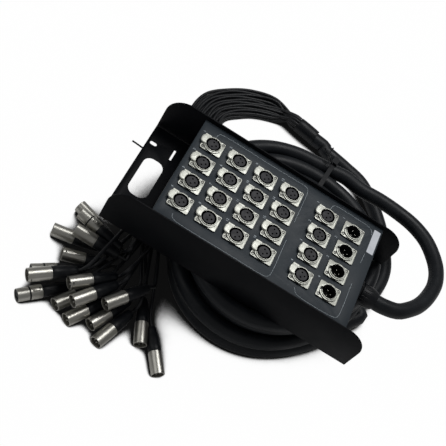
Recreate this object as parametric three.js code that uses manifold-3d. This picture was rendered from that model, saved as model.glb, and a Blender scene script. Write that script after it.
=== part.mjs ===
import * as THREE from 'three';
import { mergeVertices } from 'three/addons/utils/BufferGeometryUtils.js';
import Module from 'manifold-3d';

const wasm = await Module();
wasm.setup();

// A stage box with its multicore cable: a sheet-metal box of panel sockets that sits on the coiled
// trunk cable, and a fan of thin tails with a plug on each. Lengths are in millimetres. The origin
// is the middle of the box, +X runs to the cable end, +Y to the rear cheek, and +Z up.

// Clearances
const seatGap = 0.3;
const slideGap = 0.3;
const cutOverrun = 6;
const weldDistance = 0.001;

// Box: two side cheeks, and between them a bent tray and the socket panel
const boxLength = 384;
const boxWidth = 185;
const boxHeight = 74;
const handleReach = 55;
const cableReach = 37;
const cheekThickness = 2;
const cheekCorner = 34;
const panelDrop = 7;
const panelThickness = 1.5;
const trayThickness = 1.5;

// Openings in the handle plate
const handSlotLength = 70;
const handSlotWidth = 30;
const handSlotCorner = 12;
const handSlotInset = 29;
const strapHoleLength = 10.5;
const strapHoleWidth = 6;
const strapHoleCorner = 2.7;
const strapHoleInset = 45.3;
const lacingSlotLength = 20;
const lacingSlotWidth = 3;
const lacingSlotInset = 13.6;
const plateHoleMargin = 31.8;

// Socket field: four columns of inputs, then one of returns and one of send sockets. The rows are
// shared out over the box's width, and the columns over the panel's length.
const rowCount = 4;
const inputColumns = 4;
const rowPitchShare = 0.1968;
const fieldInsetShare = 0.0877;
const columnPitchShare = 0.1442;
const groupPitchShare = 0.1976;
const returnPitchShare = 0.1449;

// Panel socket
const flangeLength = 31;
const flangeWidth = 26;
const flangeHeight = 2.2;
const flangeCorner = 2;
const collarRadius = 11.8;
const collarHeight = 1.2;
const boreRadius = 9.4;
const insertRadius = 8.1;
const insertDrop = 0.8;
const grooveDepth = 7;
const contactRadius = 1.5;
const contactDepth = 5;
const contactSpread = 3.8;
const contactRise = 1.2;
const contactFall = 3.6;
const bodyDepth = 19;
const wellRadius = 8.6;
const wellDepth = 12;
const pinRadius = 1.2;
const pinRecess = 1.6;
const keyWidth = 2.4;
const keyDepth = 1.6;

// Push tab in the corner of each socket with holes
const tabReach = 8.6;
const tabProud = 0.5;
const tabRise = 1.4;
const tabDepth = 9;
const tabCorner = 2.4;
const tabFacetTurn = 0.8 * Math.PI;

// Cable gland
const glandZ = -3;
const glandThread = 13;
const glandFlats = 17;
const glandHex = 9;
const glandInside = 9;
const glandLocknut = 17.5;
const glandLocknutHeight = 5;
const nutRadius = 15.6;
const nutLength = 24;
const nutMouth = 12.6;
const nutShoulderShare = 0.55;
const nutStep = 1;

// Trunk cable and its coil
const trunkDiameter = 23;
const turnGap = 0.6;
const coilX = 48;
const coilY = 51.2;
const coilRadius = 154.5;
const coilLayers = 4;
const stepsPerLoop = 24;
const coilSides = 6;
const coilStartStep = 7;
const coilSteps = 256;
const coilFlatShare = 0.1;
const ovalShare = 0.044;
const ovalTurn = 1.041;
const trefoilShare = 0.036;
const trefoilTurn = 0.294;
const trunkSides = 10;
const leadStraight = 10.35;
const leadSteps = 15;
const endSteps = 14;

// Cable tie on the coil
const tieAngle = 1.466;
const tieWidth = 7;
const tieThickness = 1.3;
const tieInner = 79.2;
const tieOuterTop = 174.6;
const tieOuterFloor = 151;
const tieShoulder = 27;
const tieHeadLength = 11;
const tieHeadHeight = 5;

// Breakout and tails
const breakoutLength = 36;
const breakoutRadius = 15.5;
const strandCount = 5;
const strandRadius = 5.6;
const strandSides = 8;
const strandPitch = 11.3;
const rootShare = 0.36;
const hubRadius = 13.5;
const hubLength = 6;
const tailDiameter = 5;
const tailPitch = 5.3;
const tailSides = 8;
const strandSteps = 10;
const tailLead = 12;
const tailHump = 24;
const coilReach = 173;

// Cable plugs
const shellRadius = 9.5;
const shellWall = 1.5;
const maleShell = 32;
const femaleShell = 34;
const plugWell = 12;
const maleBoot = 36;
const femaleBoot = 40;
const bootRadius = 8.9;
const bootStep = 0.8;
const bootTip = 5.3;
const plugSides = 10;
const socketSides = 10;
const plugPinRise = -0.6;
const plugPinFall = 4.4;
const plugLatchLength = 9;
const plugLatchWidth = 5;
const plugLatchRise = 1.1;
const plugLatchDepth = 2.6;
const plugLatchInset = 4;
const plugLatchTravel = 1;
const pileLift = 25.5;

// Worked out from the sizes above
const boxTop = boxHeight / 2;
const halfLength = boxLength / 2;
const halfWidth = boxWidth / 2;
const handleWallX = -halfLength + handleReach;
const cableWallX = halfLength - cableReach;
const panelTop = boxTop - panelDrop;
const innerWidth = boxWidth - 2 * (cheekThickness + seatGap);
const wallTop = panelTop - panelThickness - seatGap;
const plateHoleOffset = innerWidth / 2 - plateHoleMargin;
const panelLength = cableWallX - handleWallX;
const rowPitch = boxWidth * rowPitchShare;
const fieldInset = panelLength * fieldInsetShare;
const columnPitch = panelLength * columnPitchShare;
const groupPitch = panelLength * groupPitchShare;
const returnPitch = panelLength * returnPitchShare;
const trunkRadius = trunkDiameter / 2;
const turnPitch = trunkDiameter + turnGap;
const coilTopZ = -boxTop - seatGap - trunkRadius;
const coilBottomZ = coilTopZ - turnPitch * (coilLayers - 1);
const floorZ = coilBottomZ - trunkRadius + coilFlatShare * trunkDiameter;
const maleLength = maleShell + maleBoot;
const femaleLength = femaleShell + femaleBoot;

// Routes of the cables, chosen by hand. The trunk leaves the gland, loops out past the cable end
// and comes down onto the coil; heights are above the floor for what lies on it.
const leadRoute = [
  [225, 7, -4], [241, 22, -7], [256, 43, -12], [267, 70, -17], [273, 101, -22], [270, 130, -27],
  [259, 156, -32], [242, 178, -36], [217, 194, -40], [188, 204, -44], [158, 209, -47], [128, 212, -48.8],
  [98, 211, -48.8], [64, 209.5, -48.8],
];
const endRoute = [
  [206, 60, 11.6], [222, 105, 11.8], [225, 150, 11.8], [217, 195, 11.8], [200, 234, 11.8],
  [172, 264, 11.8], [136, 283, 11.8], [98, 294, 11.8], [58, 304, 11.8], [34, 311, 12.4],
];
const bundleRoute = [
  [-45, 325, 8], [-82, 312, 6], [-112, 290, 6], [-133, 262, 6], [-138, 226, 6], [-132, 190, 6],
  [-127, 150, 6], [-125, 110, 6], [-125, 72, 6], [-124, 44, 6],
];
const packedShares = [0.35, 0, 0, 0, 0, 0.3, 0.8, 1, 1, 1];
// Each plug: kind, mouth, heading in degrees and lift, then its tail's height behind the boot, height
// half way to the bundle and swing aside there
const plugPlaces = [
  ['male', -224.6, -40.2, -18.4, 0, 22.3, 18, 0],
  ['female', -216.3, -65.9, -12.8, pileLift, 50, 45, 8],
  ['male', -238, -96.1, 10.6, 0, 15, 22.3, 14],
  ['male', -210.1, -92.9, -0.8, pileLift, 35, 50, 16],
  ['male', -208.8, -122, 20.1, 0, 9.5, 22.3, 7],
  ['female', -231, -168.2, 36.3, 0, 20, 22.3, 0],
  ['male', -229.7, -191.3, 41, pileLift, 45, 52, 7],
  ['female', -228.1, -211, 45.8, 0, 14, 22.3, -14],
  ['male', -179, -169.7, 43.3, pileLift, 50, 33, -14],
  ['male', -180.1, -193.8, 59.1, 0, 15, 22.3, -7],
  ['male', -162.3, -189.9, 55.1, pileLift, 45, 28, -7],
  ['male', -157, -204.6, 59.4, 0, 9.5, 20, -7],
  ['male', -126.5, -192.7, 64.9, 0, 22.3, 22.3, 14],
  ['male', -124.1, -169.2, 55.1, pileLift, 30, 28, 0],
  ['male', -108.2, -211, 72, 0, 22.3, 22.3, 0],
  ['male', -55.3, -180.3, 112, 0, 15, 22.3, 14],
  ['male', -15.3, -205.2, 123.6, 0, 9.5, 20, 0],
  ['female', -188, -46, 14, pileLift, 35, 28, 16],
];
const restingPlugs = [['male', -125, 22, 90], ['male', -125, 22, 90]];
const restingLevels = [43.4, 62.8];

const finishes = {
  blackSteel: { color: 0x14171a, roughness: 0.55, metalness: 0.2 },
  greyPanel: { color: 0x53585c, roughness: 0.6, metalness: 0.2 },
  nickel: { color: 0xc2c4bd, roughness: 0.35, metalness: 0.9 },
  blackPlastic: { color: 0x111315, roughness: 0.5, metalness: 0 },
  greyPlastic: { color: 0x5b5a5c, roughness: 0.6, metalness: 0 },
  cable: { color: 0x1b1d20, roughness: 0.6, metalness: 0 },
};

function toSolid(geometry) {
  const bare = geometry.clone();
  bare.deleteAttribute('normal');
  bare.deleteAttribute('uv');
  const merged = mergeVertices(bare, weldDistance);
  return new wasm.Manifold(new wasm.Mesh({
    numProp: 3,
    vertProperties: new Float32Array(merged.attributes.position.array),
    triVerts: new Uint32Array(merged.index.array),
  }));
}

function toGeometry(solid) {
  const mesh = solid.getMesh();
  const indexed = new THREE.BufferGeometry();
  indexed.setAttribute('position', new THREE.Float32BufferAttribute(mesh.vertProperties, 3));
  indexed.setIndex(new THREE.Uint32BufferAttribute(mesh.triVerts, 1));
  const flat = indexed.toNonIndexed();
  flat.computeVertexNormals();
  return flat;
}

function namedMesh(name, geometry, finish) {
  const mesh = new THREE.Mesh(geometry, new THREE.MeshStandardMaterial(finishes[finish]));
  mesh.name = name;
  return mesh;
}

function block(x0, x1, y0, y1, z0, z1) {
  const box = new THREE.BoxGeometry(x1 - x0, y1 - y0, z1 - z0);
  return toSolid(box.translate((x0 + x1) / 2, (y0 + y1) / 2, (z0 + z1) / 2));
}

// An upright cylinder
function post(radius, x, y, z0, z1, sides) {
  const cylinder = new THREE.CylinderGeometry(radius, radius, z1 - z0, sides);
  cylinder.rotateX(Math.PI / 2);
  return toSolid(cylinder.translate(x, y, (z0 + z1) / 2));
}

// Each arc of the shape is drawn with this many straight pieces
function slab(shape, z0, z1, pieces) {
  const options = { depth: z1 - z0, bevelEnabled: false, curveSegments: pieces / 2 };
  return toSolid(new THREE.ExtrudeGeometry(shape, options).translate(0, 0, z0));
}

function roundedRectangle(cx, cy, length, width, radius) {
  const shape = new THREE.Shape();
  const x = length / 2 - radius;
  const y = width / 2 - radius;
  shape.absarc(cx + x, cy + y, radius, 0, Math.PI / 2);
  shape.absarc(cx - x, cy + y, radius, Math.PI / 2, Math.PI);
  shape.absarc(cx - x, cy - y, radius, Math.PI, 1.5 * Math.PI);
  shape.absarc(cx + x, cy - y, radius, 1.5 * Math.PI, 2 * Math.PI);
  shape.closePath();
  return shape;
}

// The tray is one bent sheet: the floor runs on past the end wall as the handle plate
function chassisSolid() {
  const shape = new THREE.Shape();
  shape.moveTo(-halfLength, -boxTop);
  shape.lineTo(cableWallX, -boxTop);
  shape.lineTo(cableWallX, wallTop);
  shape.lineTo(cableWallX - trayThickness, wallTop);
  shape.lineTo(cableWallX - trayThickness, -boxTop + trayThickness);
  shape.lineTo(handleWallX + trayThickness, -boxTop + trayThickness);
  shape.lineTo(handleWallX + trayThickness, wallTop);
  shape.lineTo(handleWallX, wallTop);
  shape.lineTo(handleWallX, -boxTop + trayThickness);
  shape.lineTo(-halfLength, -boxTop + trayThickness);
  shape.closePath();
  const profile = new THREE.ExtrudeGeometry(shape, { depth: innerWidth, bevelEnabled: false });
  profile.rotateX(Math.PI / 2).translate(0, innerWidth / 2, 0);
  const below = -boxTop - cutOverrun;
  const above = -boxTop + trayThickness + cutOverrun;
  const slotX = handleWallX - handSlotInset;
  const strapX = handleWallX - strapHoleInset;
  const lacingX = handleWallX - lacingSlotInset;
  const slot = roundedRectangle(slotX, 0, handSlotWidth, handSlotLength, handSlotCorner);
  const strap = roundedRectangle(strapX, plateHoleOffset, strapHoleLength, strapHoleWidth, strapHoleCorner);
  const lacing = block(
    lacingX - lacingSlotWidth / 2, lacingX + lacingSlotWidth / 2,
    plateHoleOffset - lacingSlotLength / 2, plateHoleOffset + lacingSlotLength / 2, below, above,
  );
  const glandHole = new THREE.CylinderGeometry(
    glandThread + seatGap, glandThread + seatGap, trayThickness + cutOverrun, trunkSides,
  );
  glandHole.rotateZ(Math.PI / 2).translate(cableWallX, 0, glandZ);
  return toSolid(profile)
    .subtract(slab(slot, below, above, 6))
    .subtract(slab(strap, below, above, 4))
    .subtract(lacing)
    .subtract(toSolid(glandHole));
}

function cheekSolid(side) {
  const shape = new THREE.Shape();
  shape.moveTo(-halfLength, -boxTop);
  shape.lineTo(halfLength, -boxTop);
  shape.absarc(halfLength - cheekCorner, boxTop - cheekCorner, cheekCorner, 0, Math.PI / 2);
  shape.absarc(-halfLength + cheekCorner, boxTop - cheekCorner, cheekCorner, Math.PI / 2, Math.PI);
  shape.closePath();
  const options = { depth: cheekThickness, bevelEnabled: false, curveSegments: 4 };
  const sheet = new THREE.ExtrudeGeometry(shape, options).rotateX(Math.PI / 2);
  return sheet.translate(0, side > 0 ? halfWidth : -halfWidth + cheekThickness, 0);
}

function socketPlaces() {
  const inputs = [];
  const returns = [];
  const sends = [];
  const firstX = handleWallX + fieldInset;
  const returnX = firstX + columnPitch * (inputColumns - 1) + groupPitch;
  for (let row = 0; row < rowCount; row += 1) {
    const y = rowPitch * ((rowCount - 1) / 2 - row);
    for (let column = 0; column < inputColumns; column += 1) {
      inputs.push([firstX + columnPitch * column, y]);
    }
    returns.push([returnX, y]);
    sends.push([returnX + returnPitch, y]);
  }
  return { inputs, returns, sends };
}

// The tab fills the flange's corner, cut off along the collar's facet; grow widens it into its pocket
function tabShape(x, y, grow) {
  const left = -flangeLength / 2 - tabProud - grow;
  const right = -flangeLength / 2 - tabProud + tabReach + grow;
  const low = flangeWidth / 2 + tabProud - tabReach - grow;
  const high = flangeWidth / 2 + tabProud + grow;
  const facet = collarRadius * Math.cos(Math.PI / socketSides) + slideGap - grow;
  const [across, along] = [Math.cos(tabFacetTurn), Math.sin(tabFacetTurn)];
  const shape = new THREE.Shape();
  shape.moveTo(x + left, y + low);
  shape.lineTo(x + (facet - low * along) / across, y + low);
  shape.lineTo(x + right, y + (facet - right * across) / along);
  shape.lineTo(x + right, y + high);
  shape.lineTo(x + left + tabCorner, y + high);
  shape.lineTo(x + left, y + high - tabCorner);
  shape.closePath();
  return shape;
}

function contactPlaces() {
  return [[-contactRise, contactSpread], [-contactRise, -contactSpread], [contactFall, 0]];
}

// The panel sheet carries the sockets with holes; the ones with pins stand in openings of their own
function panelSolid(places) {
  const half = innerWidth / 2;
  let panel = block(handleWallX, cableWallX, -half, half, panelTop - panelThickness, panelTop);
  const flangeTop = panelTop + flangeHeight;
  const collarTop = flangeTop + collarHeight;
  const insertTop = collarTop - insertDrop;
  const bodyFoot = panelTop - bodyDepth;
  for (const [x, y] of [...places.inputs, ...places.returns]) {
    const flange = roundedRectangle(x, y, flangeLength, flangeWidth, flangeCorner);
    panel = panel
      .add(slab(flange, panelTop - panelThickness / 2, flangeTop, 1))
      .add(post(collarRadius, x, y, bodyFoot, collarTop, socketSides));
    const ring = new THREE.Shape().absarc(x, y, boreRadius, -Math.PI / 2, 1.5 * Math.PI);
    ring.holes.push(new THREE.Path().absarc(x, y, insertRadius, -Math.PI / 2, 1.5 * Math.PI));
    panel = panel
      .subtract(slab(ring, panelTop + flangeHeight - grooveDepth, collarTop + cutOverrun, socketSides))
      .subtract(post(insertRadius + slideGap, x, y, insertTop, collarTop + cutOverrun, socketSides));
    for (const [dx, dy] of contactPlaces()) {
      const foot = insertTop - contactDepth;
      panel = panel.subtract(post(contactRadius, x + dx, y + dy, foot, collarTop + cutOverrun, 4));
    }
    const pocket = tabShape(x, y, slideGap);
    panel = panel.subtract(slab(pocket, panelTop - tabDepth - cutOverrun, collarTop + cutOverrun, 2));
  }
  for (const [x, y] of places.sends) {
    const hole = collarRadius + seatGap;
    panel = panel.subtract(post(hole, x, y, panelTop - cutOverrun, panelTop + cutOverrun, socketSides));
  }
  return panel;
}

// A panel socket with pins in an open well, drawn at the panel's top face
function sendSocketSolid() {
  const collarTop = flangeHeight + collarHeight;
  const wellFoot = collarTop - wellDepth;
  const flange = roundedRectangle(0, 0, flangeLength, flangeWidth, flangeCorner);
  let socket = slab(flange, seatGap, flangeHeight, 1)
    .add(post(collarRadius, 0, 0, -bodyDepth, collarTop, socketSides))
    .subtract(post(wellRadius, 0, 0, wellFoot, collarTop + cutOverrun, socketSides));
  for (const [dx, dy] of contactPlaces()) {
    socket = socket.add(post(pinRadius, dx, dy, wellFoot - pinRecess, collarTop - pinRecess, 5));
  }
  const keyway = block(
    -wellRadius - keyDepth, -wellRadius + keyDepth, -keyWidth / 2, keyWidth / 2,
    wellFoot + pinRecess, collarTop + cutOverrun,
  );
  return socket.subtract(keyway);
}

// A tube joined from section to section, with flat ends
function ringTube(rings) {
  const sides = rings[0].length;
  const points = rings.flat();
  const faces = [];
  for (let i = 0; i + 1 < rings.length; i += 1) {
    for (let j = 0; j < sides; j += 1) {
      const a = i * sides + j;
      const b = i * sides + ((j + 1) % sides);
      faces.push(a, a + sides, b, b, a + sides, b + sides);
    }
  }
  const last = (rings.length - 1) * sides;
  for (let j = 1; j + 1 < sides; j += 1) {
    faces.push(0, j, j + 1, last, last + j + 1, last + j);
  }
  const tube = new THREE.BufferGeometry();
  tube.setAttribute('position', new THREE.Float32BufferAttribute(points.flatMap((p) => p.toArray()), 3));
  tube.setIndex(faces);
  tube.computeVertexNormals();
  return tube;
}

function coilPoint(step) {
  const turned = 2 * Math.PI * step / stepsPerLoop;
  const angle = 2 * Math.PI * coilStartStep / stepsPerLoop + turned;
  const whole = 2 * Math.PI * coilSteps / stepsPerLoop;
  const leg = whole / coilLayers;
  const across = Math.abs(((turned / leg + 1) % 2) - 1);
  const squeeze = ovalShare * Math.cos(2 * (angle - ovalTurn))
    + trefoilShare * Math.cos(3 * (angle - trefoilTurn));
  const radius = coilRadius * (1 + squeeze) - turnPitch * leg / (2 * Math.PI) * across;
  let height = coilTopZ;
  const ramp = Math.PI / 2;
  for (let layer = 1; layer < coilLayers; layer += 1) {
    const middle = layer * leg;
    height -= turnPitch * THREE.MathUtils.smoothstep(turned, middle - ramp, middle + ramp);
  }
  return new THREE.Vector3(coilX + radius * Math.cos(angle), coilY + radius * Math.sin(angle), height);
}

// The centres of the coil's sections, with a straight run of one diameter at each end
function coilCentres() {
  const centres = [];
  for (let step = 0; step <= coilSteps; step += 1) {
    centres.push(coilPoint(step));
  }
  const ends = [[0, -1], [coilSteps, 1]].map(([step, way]) => {
    const ahead = coilPoint(step).sub(coilPoint(step - way)).setZ(0).normalize();
    return coilPoint(step).addScaledVector(ahead, trunkDiameter);
  });
  return [ends[0], ...centres, ends[1]];
}

// Sections square to a line of centres
function ringsAlong(centres, tubeRadius, sides) {
  const up = new THREE.Vector3(0, 0, 1);
  return centres.map((centre, i) => {
    const before = centres[Math.max(i - 1, 0)];
    const after = centres[Math.min(i + 1, centres.length - 1)];
    const along = after.clone().sub(before).normalize();
    const side = up.clone().cross(along).normalize();
    const rise = along.clone().cross(side);
    const ring = [];
    for (let j = 0; j < sides; j += 1) {
      const turn = 2 * Math.PI * j / sides;
      const point = centre.clone().addScaledVector(side, tubeRadius * Math.sin(turn));
      ring.push(point.addScaledVector(rise, tubeRadius * Math.cos(turn)));
    }
    return ring;
  });
}

function leastGap(rings) {
  let least = Infinity;
  const apart = stepsPerLoop / 3;
  for (let i = 0; i < rings.length; i += 1) {
    for (let k = i + apart; k < rings.length; k += 1) {
      for (const a of rings[i]) {
        for (const b of rings[k]) {
          least = Math.min(least, a.distanceTo(b));
        }
      }
    }
  }
  return least;
}

function tieGeometry() {
  const top = coilTopZ + trunkRadius + seatGap;
  const inner = new THREE.Path();
  inner.moveTo(tieInner, floorZ + tieThickness);
  inner.lineTo(tieInner, top);
  inner.lineTo(tieOuterTop, top);
  inner.lineTo(tieOuterTop, top - tieShoulder);
  inner.lineTo(tieOuterFloor, floorZ + tieThickness);
  inner.closePath();
  const shape = new THREE.Shape();
  shape.moveTo(tieInner - tieThickness, floorZ);
  shape.lineTo(tieOuterFloor + tieThickness, floorZ);
  shape.lineTo(tieOuterTop + tieThickness, top - tieShoulder);
  shape.lineTo(tieOuterTop + tieThickness, top + tieThickness);
  shape.lineTo(tieInner - tieThickness, top + tieThickness);
  shape.closePath();
  shape.holes.push(inner);
  const band = new THREE.ExtrudeGeometry(shape, { depth: tieWidth, bevelEnabled: false });
  const head = new THREE.BoxGeometry(tieHeadLength, tieHeadHeight, tieWidth + tieThickness * 2);
  head.translate(tieOuterTop - tieHeadLength, top + (tieHeadHeight + tieThickness) / 2, tieWidth / 2);
  const joined = toGeometry(toSolid(band).add(toSolid(head)));
  joined.rotateX(Math.PI / 2).translate(0, tieWidth / 2, 0);
  return joined.rotateZ(tieAngle).translate(coilX, coilY, 0);
}

// The slot that the tie's band needs under the lowest turns
function tieSlot() {
  const slot = new THREE.BoxGeometry(
    tieOuterFloor - tieInner + cutOverrun, tieWidth + 2 * seatGap, 2 * (tieThickness + seatGap),
  );
  slot.translate((tieOuterFloor + tieInner) / 2, 0, floorZ);
  return toSolid(slot.rotateZ(tieAngle).translate(coilX, coilY, 0));
}

function coilSolid(rings) {
  const reach = coilRadius + trunkDiameter * coilLayers;
  const under = block(
    coilX - reach, coilX + reach, coilY - reach, coilY + reach, floorZ - trunkDiameter, floorZ,
  );
  return toSolid(ringTube(rings)).subtract(under).subtract(tieSlot());
}

function sweep(points, radius, sides, steps) {
  const section = new THREE.Shape();
  for (let j = 0; j < sides; j += 1) {
    const turn = 2 * Math.PI * (j + 0.5) / sides;
    const x = radius * Math.cos(turn);
    const y = radius * Math.sin(turn);
    if (j === 0) {
      section.moveTo(x, y);
    } else {
      section.lineTo(x, y);
    }
  }
  section.closePath();
  const path = new THREE.CatmullRomCurve3(points, false, 'centripetal');
  return new THREE.ExtrudeGeometry(section, { steps, bevelEnabled: false, extrudePath: path });
}

function above(route) {
  return route.map(([x, y, height]) => new THREE.Vector3(x, y, floorZ + height));
}

function leadGeometry(centres, glandMouth) {
  const start = [seatGap, leadStraight].map((out) => new THREE.Vector3(glandMouth + out, 0, glandZ));
  const coilEnd = centres[0];
  const outward = coilEnd.clone().sub(centres[1]).normalize();
  const ends = [trunkDiameter, seatGap].map((out) => coilEnd.clone().addScaledVector(outward, out));
  const route = leadRoute.map(([x, y, z]) => new THREE.Vector3(x, y, z));
  return sweep([...start, ...route, ...ends], trunkRadius, trunkSides, leadSteps);
}

function endSolid(centres, breakoutStart, breakoutWay) {
  const coilEnd = centres[centres.length - 1];
  const outward = coilEnd.clone().sub(centres[centres.length - 2]).normalize();
  const first = [seatGap, trunkDiameter].map((out) => coilEnd.clone().addScaledVector(outward, out));
  const last = breakoutStart.clone().addScaledVector(breakoutWay, -seatGap);
  const before = breakoutStart.clone().addScaledVector(breakoutWay, -trunkDiameter);
  const route = [...first, ...above(endRoute.slice(0, -1)), before, last];
  const tube = sweep(route, trunkRadius, trunkSides, endSteps);
  const reach = boxLength * 2;
  const under = block(-reach, reach, -reach, reach, floorZ - trunkDiameter, floorZ);
  return toSolid(tube).subtract(under);
}

function revolve(profile, sides) {
  const lathe = new THREE.LatheGeometry(profile.map(([r, x]) => new THREE.Vector2(r, x)), sides);
  return toSolid(lathe.rotateZ(-Math.PI / 2));
}

// Lies along +X from the wall: hexagon outside, thread through the wall and locknut inside
function glandBodySolid() {
  const hex = new THREE.CylinderGeometry(glandFlats, glandFlats, glandHex, 6);
  hex.rotateZ(Math.PI / 2).translate(seatGap + glandHex / 2, 0, 0);
  const insideFace = -trayThickness - seatGap;
  const thread = new THREE.CylinderGeometry(glandThread, glandThread, glandInside + glandHex, trunkSides);
  thread.rotateZ(Math.PI / 2).translate((glandHex - glandInside) / 2, 0, 0);
  const locknut = new THREE.CylinderGeometry(glandLocknut, glandLocknut, glandLocknutHeight, 6);
  locknut.rotateZ(Math.PI / 2).translate(insideFace - glandLocknutHeight / 2, 0, 0);
  return toSolid(hex).add(toSolid(thread)).add(toSolid(locknut));
}

function glandNutSolid() {
  const shoulder = nutLength * nutShoulderShare;
  return revolve([
    [0, 0], [nutRadius - nutStep, 0], [nutRadius, nutStep], [nutRadius, shoulder],
    [nutRadius - nutStep, shoulder + nutStep], [nutMouth + nutStep, nutLength - nutStep],
    [nutMouth, nutLength], [0, nutLength],
  ], trunkSides);
}

function breakoutSolid() {
  const mouth = trunkRadius + bootStep;
  return revolve([
    [0, 0], [mouth, 0], [mouth, breakoutLength / 4], [breakoutRadius, breakoutLength / 2],
    [breakoutRadius, breakoutLength - bootStep], [breakoutRadius - bootStep, breakoutLength],
    [0, breakoutLength],
  ], trunkSides);
}

// Where a strand lies beside the bundle's middle: spread flat on the floor, or packed into a stack
function strandPath(strand, start, way) {
  const spread = strand - (strandCount - 1) / 2;
  const packed = Math.sign(spread) / 2;
  const level = Math.floor((strandCount - 1) / 2) - Math.abs(spread);
  const points = above(bundleRoute);
  const across = way.clone().applyAxisAngle(new THREE.Vector3(0, 0, 1), -Math.PI / 2);
  const root = start.clone().addScaledVector(across, strandPitch * rootShare * spread);
  root.z += strandPitch * rootShare * (spread % 2 === 0 ? -1 : 1);
  const path = [root, root.clone().addScaledVector(way, strandRadius)];
  points.forEach((point, i) => {
    const from = points[Math.max(i - 1, 0)];
    const to = points[Math.min(i + 1, points.length - 1)];
    const ahead = to.clone().sub(from).setZ(0).normalize();
    const side = new THREE.Vector3(ahead.y, -ahead.x, 0);
    const share = packedShares[i];
    const lane = strandPitch * THREE.MathUtils.lerp(spread, packed, share);
    const place = point.clone().addScaledVector(side, lane);
    place.z += strandPitch * level * share;
    path.push(place);
  });
  return path;
}

function placedPlugs() {
  const places = plugPlaces.map(([kind, x, y, turn, lift, bend, hump, swing]) => (
    { kind, x, y, turn, z: floorZ + shellRadius + lift, bend, hump, swing }
  ));
  restingPlugs.forEach(([kind, x, y, turn], i) => {
    places.push({ kind, x, y, turn, z: floorZ + restingLevels[i], resting: true });
  });
  return places.map((place) => {
    const turn = THREE.MathUtils.degToRad(place.turn);
    const way = new THREE.Vector3(Math.cos(turn), Math.sin(turn), 0);
    const long = place.kind === 'male' ? maleLength : femaleLength;
    const rear = new THREE.Vector3(place.x, place.y, place.z).addScaledVector(way, long);
    return { ...place, turn, way, rear };
  });
}

// Where each tail leaves the packed bundle: two by two in every strand, in the order of the plugs
function tailSlots(plugs, end) {
  const up = 2 * strandPitch / tailPitch;
  const rows = [-1, 1, up - 1, up + 1];
  const sides = [-1, -1 / 3, 0, 1 / 3, 1].map((share) => share * (strandPitch / 2 + tailPitch / 2));
  const bearing = (plug) => Math.atan2(plug.rear.x - end.x, end.y - plug.rear.y);
  const order = plugs.filter((plug) => !plug.resting).sort((a, b) => bearing(a) - bearing(b));
  const slots = new Map();
  const counts = [4, 4, 2, 4, 4];
  let first = 0;
  counts.forEach((count, column) => {
    const group = order.slice(first, first + count);
    group.sort((a, b) => a.z - b.z || a.rear.distanceTo(end) - b.rear.distanceTo(end));
    group.forEach((plug, row) => {
      const level = count === 2 ? row - 0.5 + 2 * strandPitch / tailPitch : rows[row] / 2;
      const slot = new THREE.Vector3(end.x + sides[column], end.y, end.z + level * tailPitch);
      slots.set(plug, slot);
    });
    first += count;
  });
  return slots;
}

// Keeps a point of a tail's path outside the coil, which stands beside the bundle
function besideCoil(point) {
  const middle = new THREE.Vector3(coilX, coilY, point.z);
  const away = point.clone().sub(middle);
  return middle.addScaledVector(away.normalize(), Math.max(point.distanceTo(middle), coilReach));
}

function tailPath(plug, slot) {
  const [out, lead, bend] = [seatGap, tailDiameter + seatGap, tailLead].map(
    (reach) => plug.rear.clone().addScaledVector(plug.way, reach),
  );
  if (plug.resting) {
    const meet = bend.clone().addScaledVector(plug.way, tailLead).setZ(floorZ + tailHump);
    return [meet, bend.setZ((plug.z + meet.z) / 2), lead, out];
  }
  const ahead = bend.clone().sub(slot);
  const aside = new THREE.Vector3(ahead.y, -ahead.x, 0).normalize();
  const middle = bend.clone().lerp(slot, 0.5).addScaledVector(aside, plug.swing);
  middle.z = floorZ + plug.hump;
  return [slot, besideCoil(middle), besideCoil(bend.setZ(floorZ + plug.bend)), lead, out];
}

function tailsSolid(start, way, plugs) {
  const hubStart = start.clone().addScaledVector(way, seatGap);
  const hub = new THREE.CylinderGeometry(hubRadius, hubRadius, hubLength, trunkSides);
  hub.translate(0, hubLength / 2, 0);
  const turn = new THREE.Quaternion().setFromUnitVectors(new THREE.Vector3(0, 1, 0), way);
  hub.applyQuaternion(turn).translate(hubStart.x, hubStart.y, hubStart.z);
  let tails = toSolid(hub);
  const rootPoint = hubStart.clone().addScaledVector(way, hubLength / 2);
  for (let strand = 0; strand < strandCount; strand += 1) {
    const path = strandPath(strand, rootPoint, way);
    tails = tails.add(toSolid(sweep(path, strandRadius, strandSides, strandSteps)));
  }
  const end = above(bundleRoute)[bundleRoute.length - 1];
  end.y += strandRadius;
  const slots = tailSlots(plugs, end);
  for (const plug of plugs) {
    const rings = ringsAlong(tailPath(plug, slots.get(plug)), tailDiameter / 2, tailSides);
    tails = tails.add(toSolid(ringTube(rings)));
  }
  return tails;
}

// Plugs are drawn along +X from their mouth, axis on the origin's line
function malePlugSolid() {
  const inner = shellRadius - shellWall;
  let plug = revolve([
    [0, plugWell], [inner, plugWell], [inner, 0], [shellRadius, 0], [shellRadius, maleShell - bootStep],
    [bootRadius, maleShell], [bootTip, maleLength], [0, maleLength],
  ], plugSides);
  const pins = [[contactSpread, plugPinRise], [-contactSpread, plugPinRise], [0, -plugPinFall]];
  for (const [y, z] of pins) {
    const pin = new THREE.CylinderGeometry(pinRadius, pinRadius, plugWell, 4);
    pin.rotateZ(Math.PI / 2).translate(plugWell / 2 + pinRecess, y, z);
    plug = plug.add(toSolid(pin));
  }
  return plug;
}

function plugLatchPlace() {
  return femaleShell - plugLatchInset - plugLatchLength / 2;
}

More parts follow.
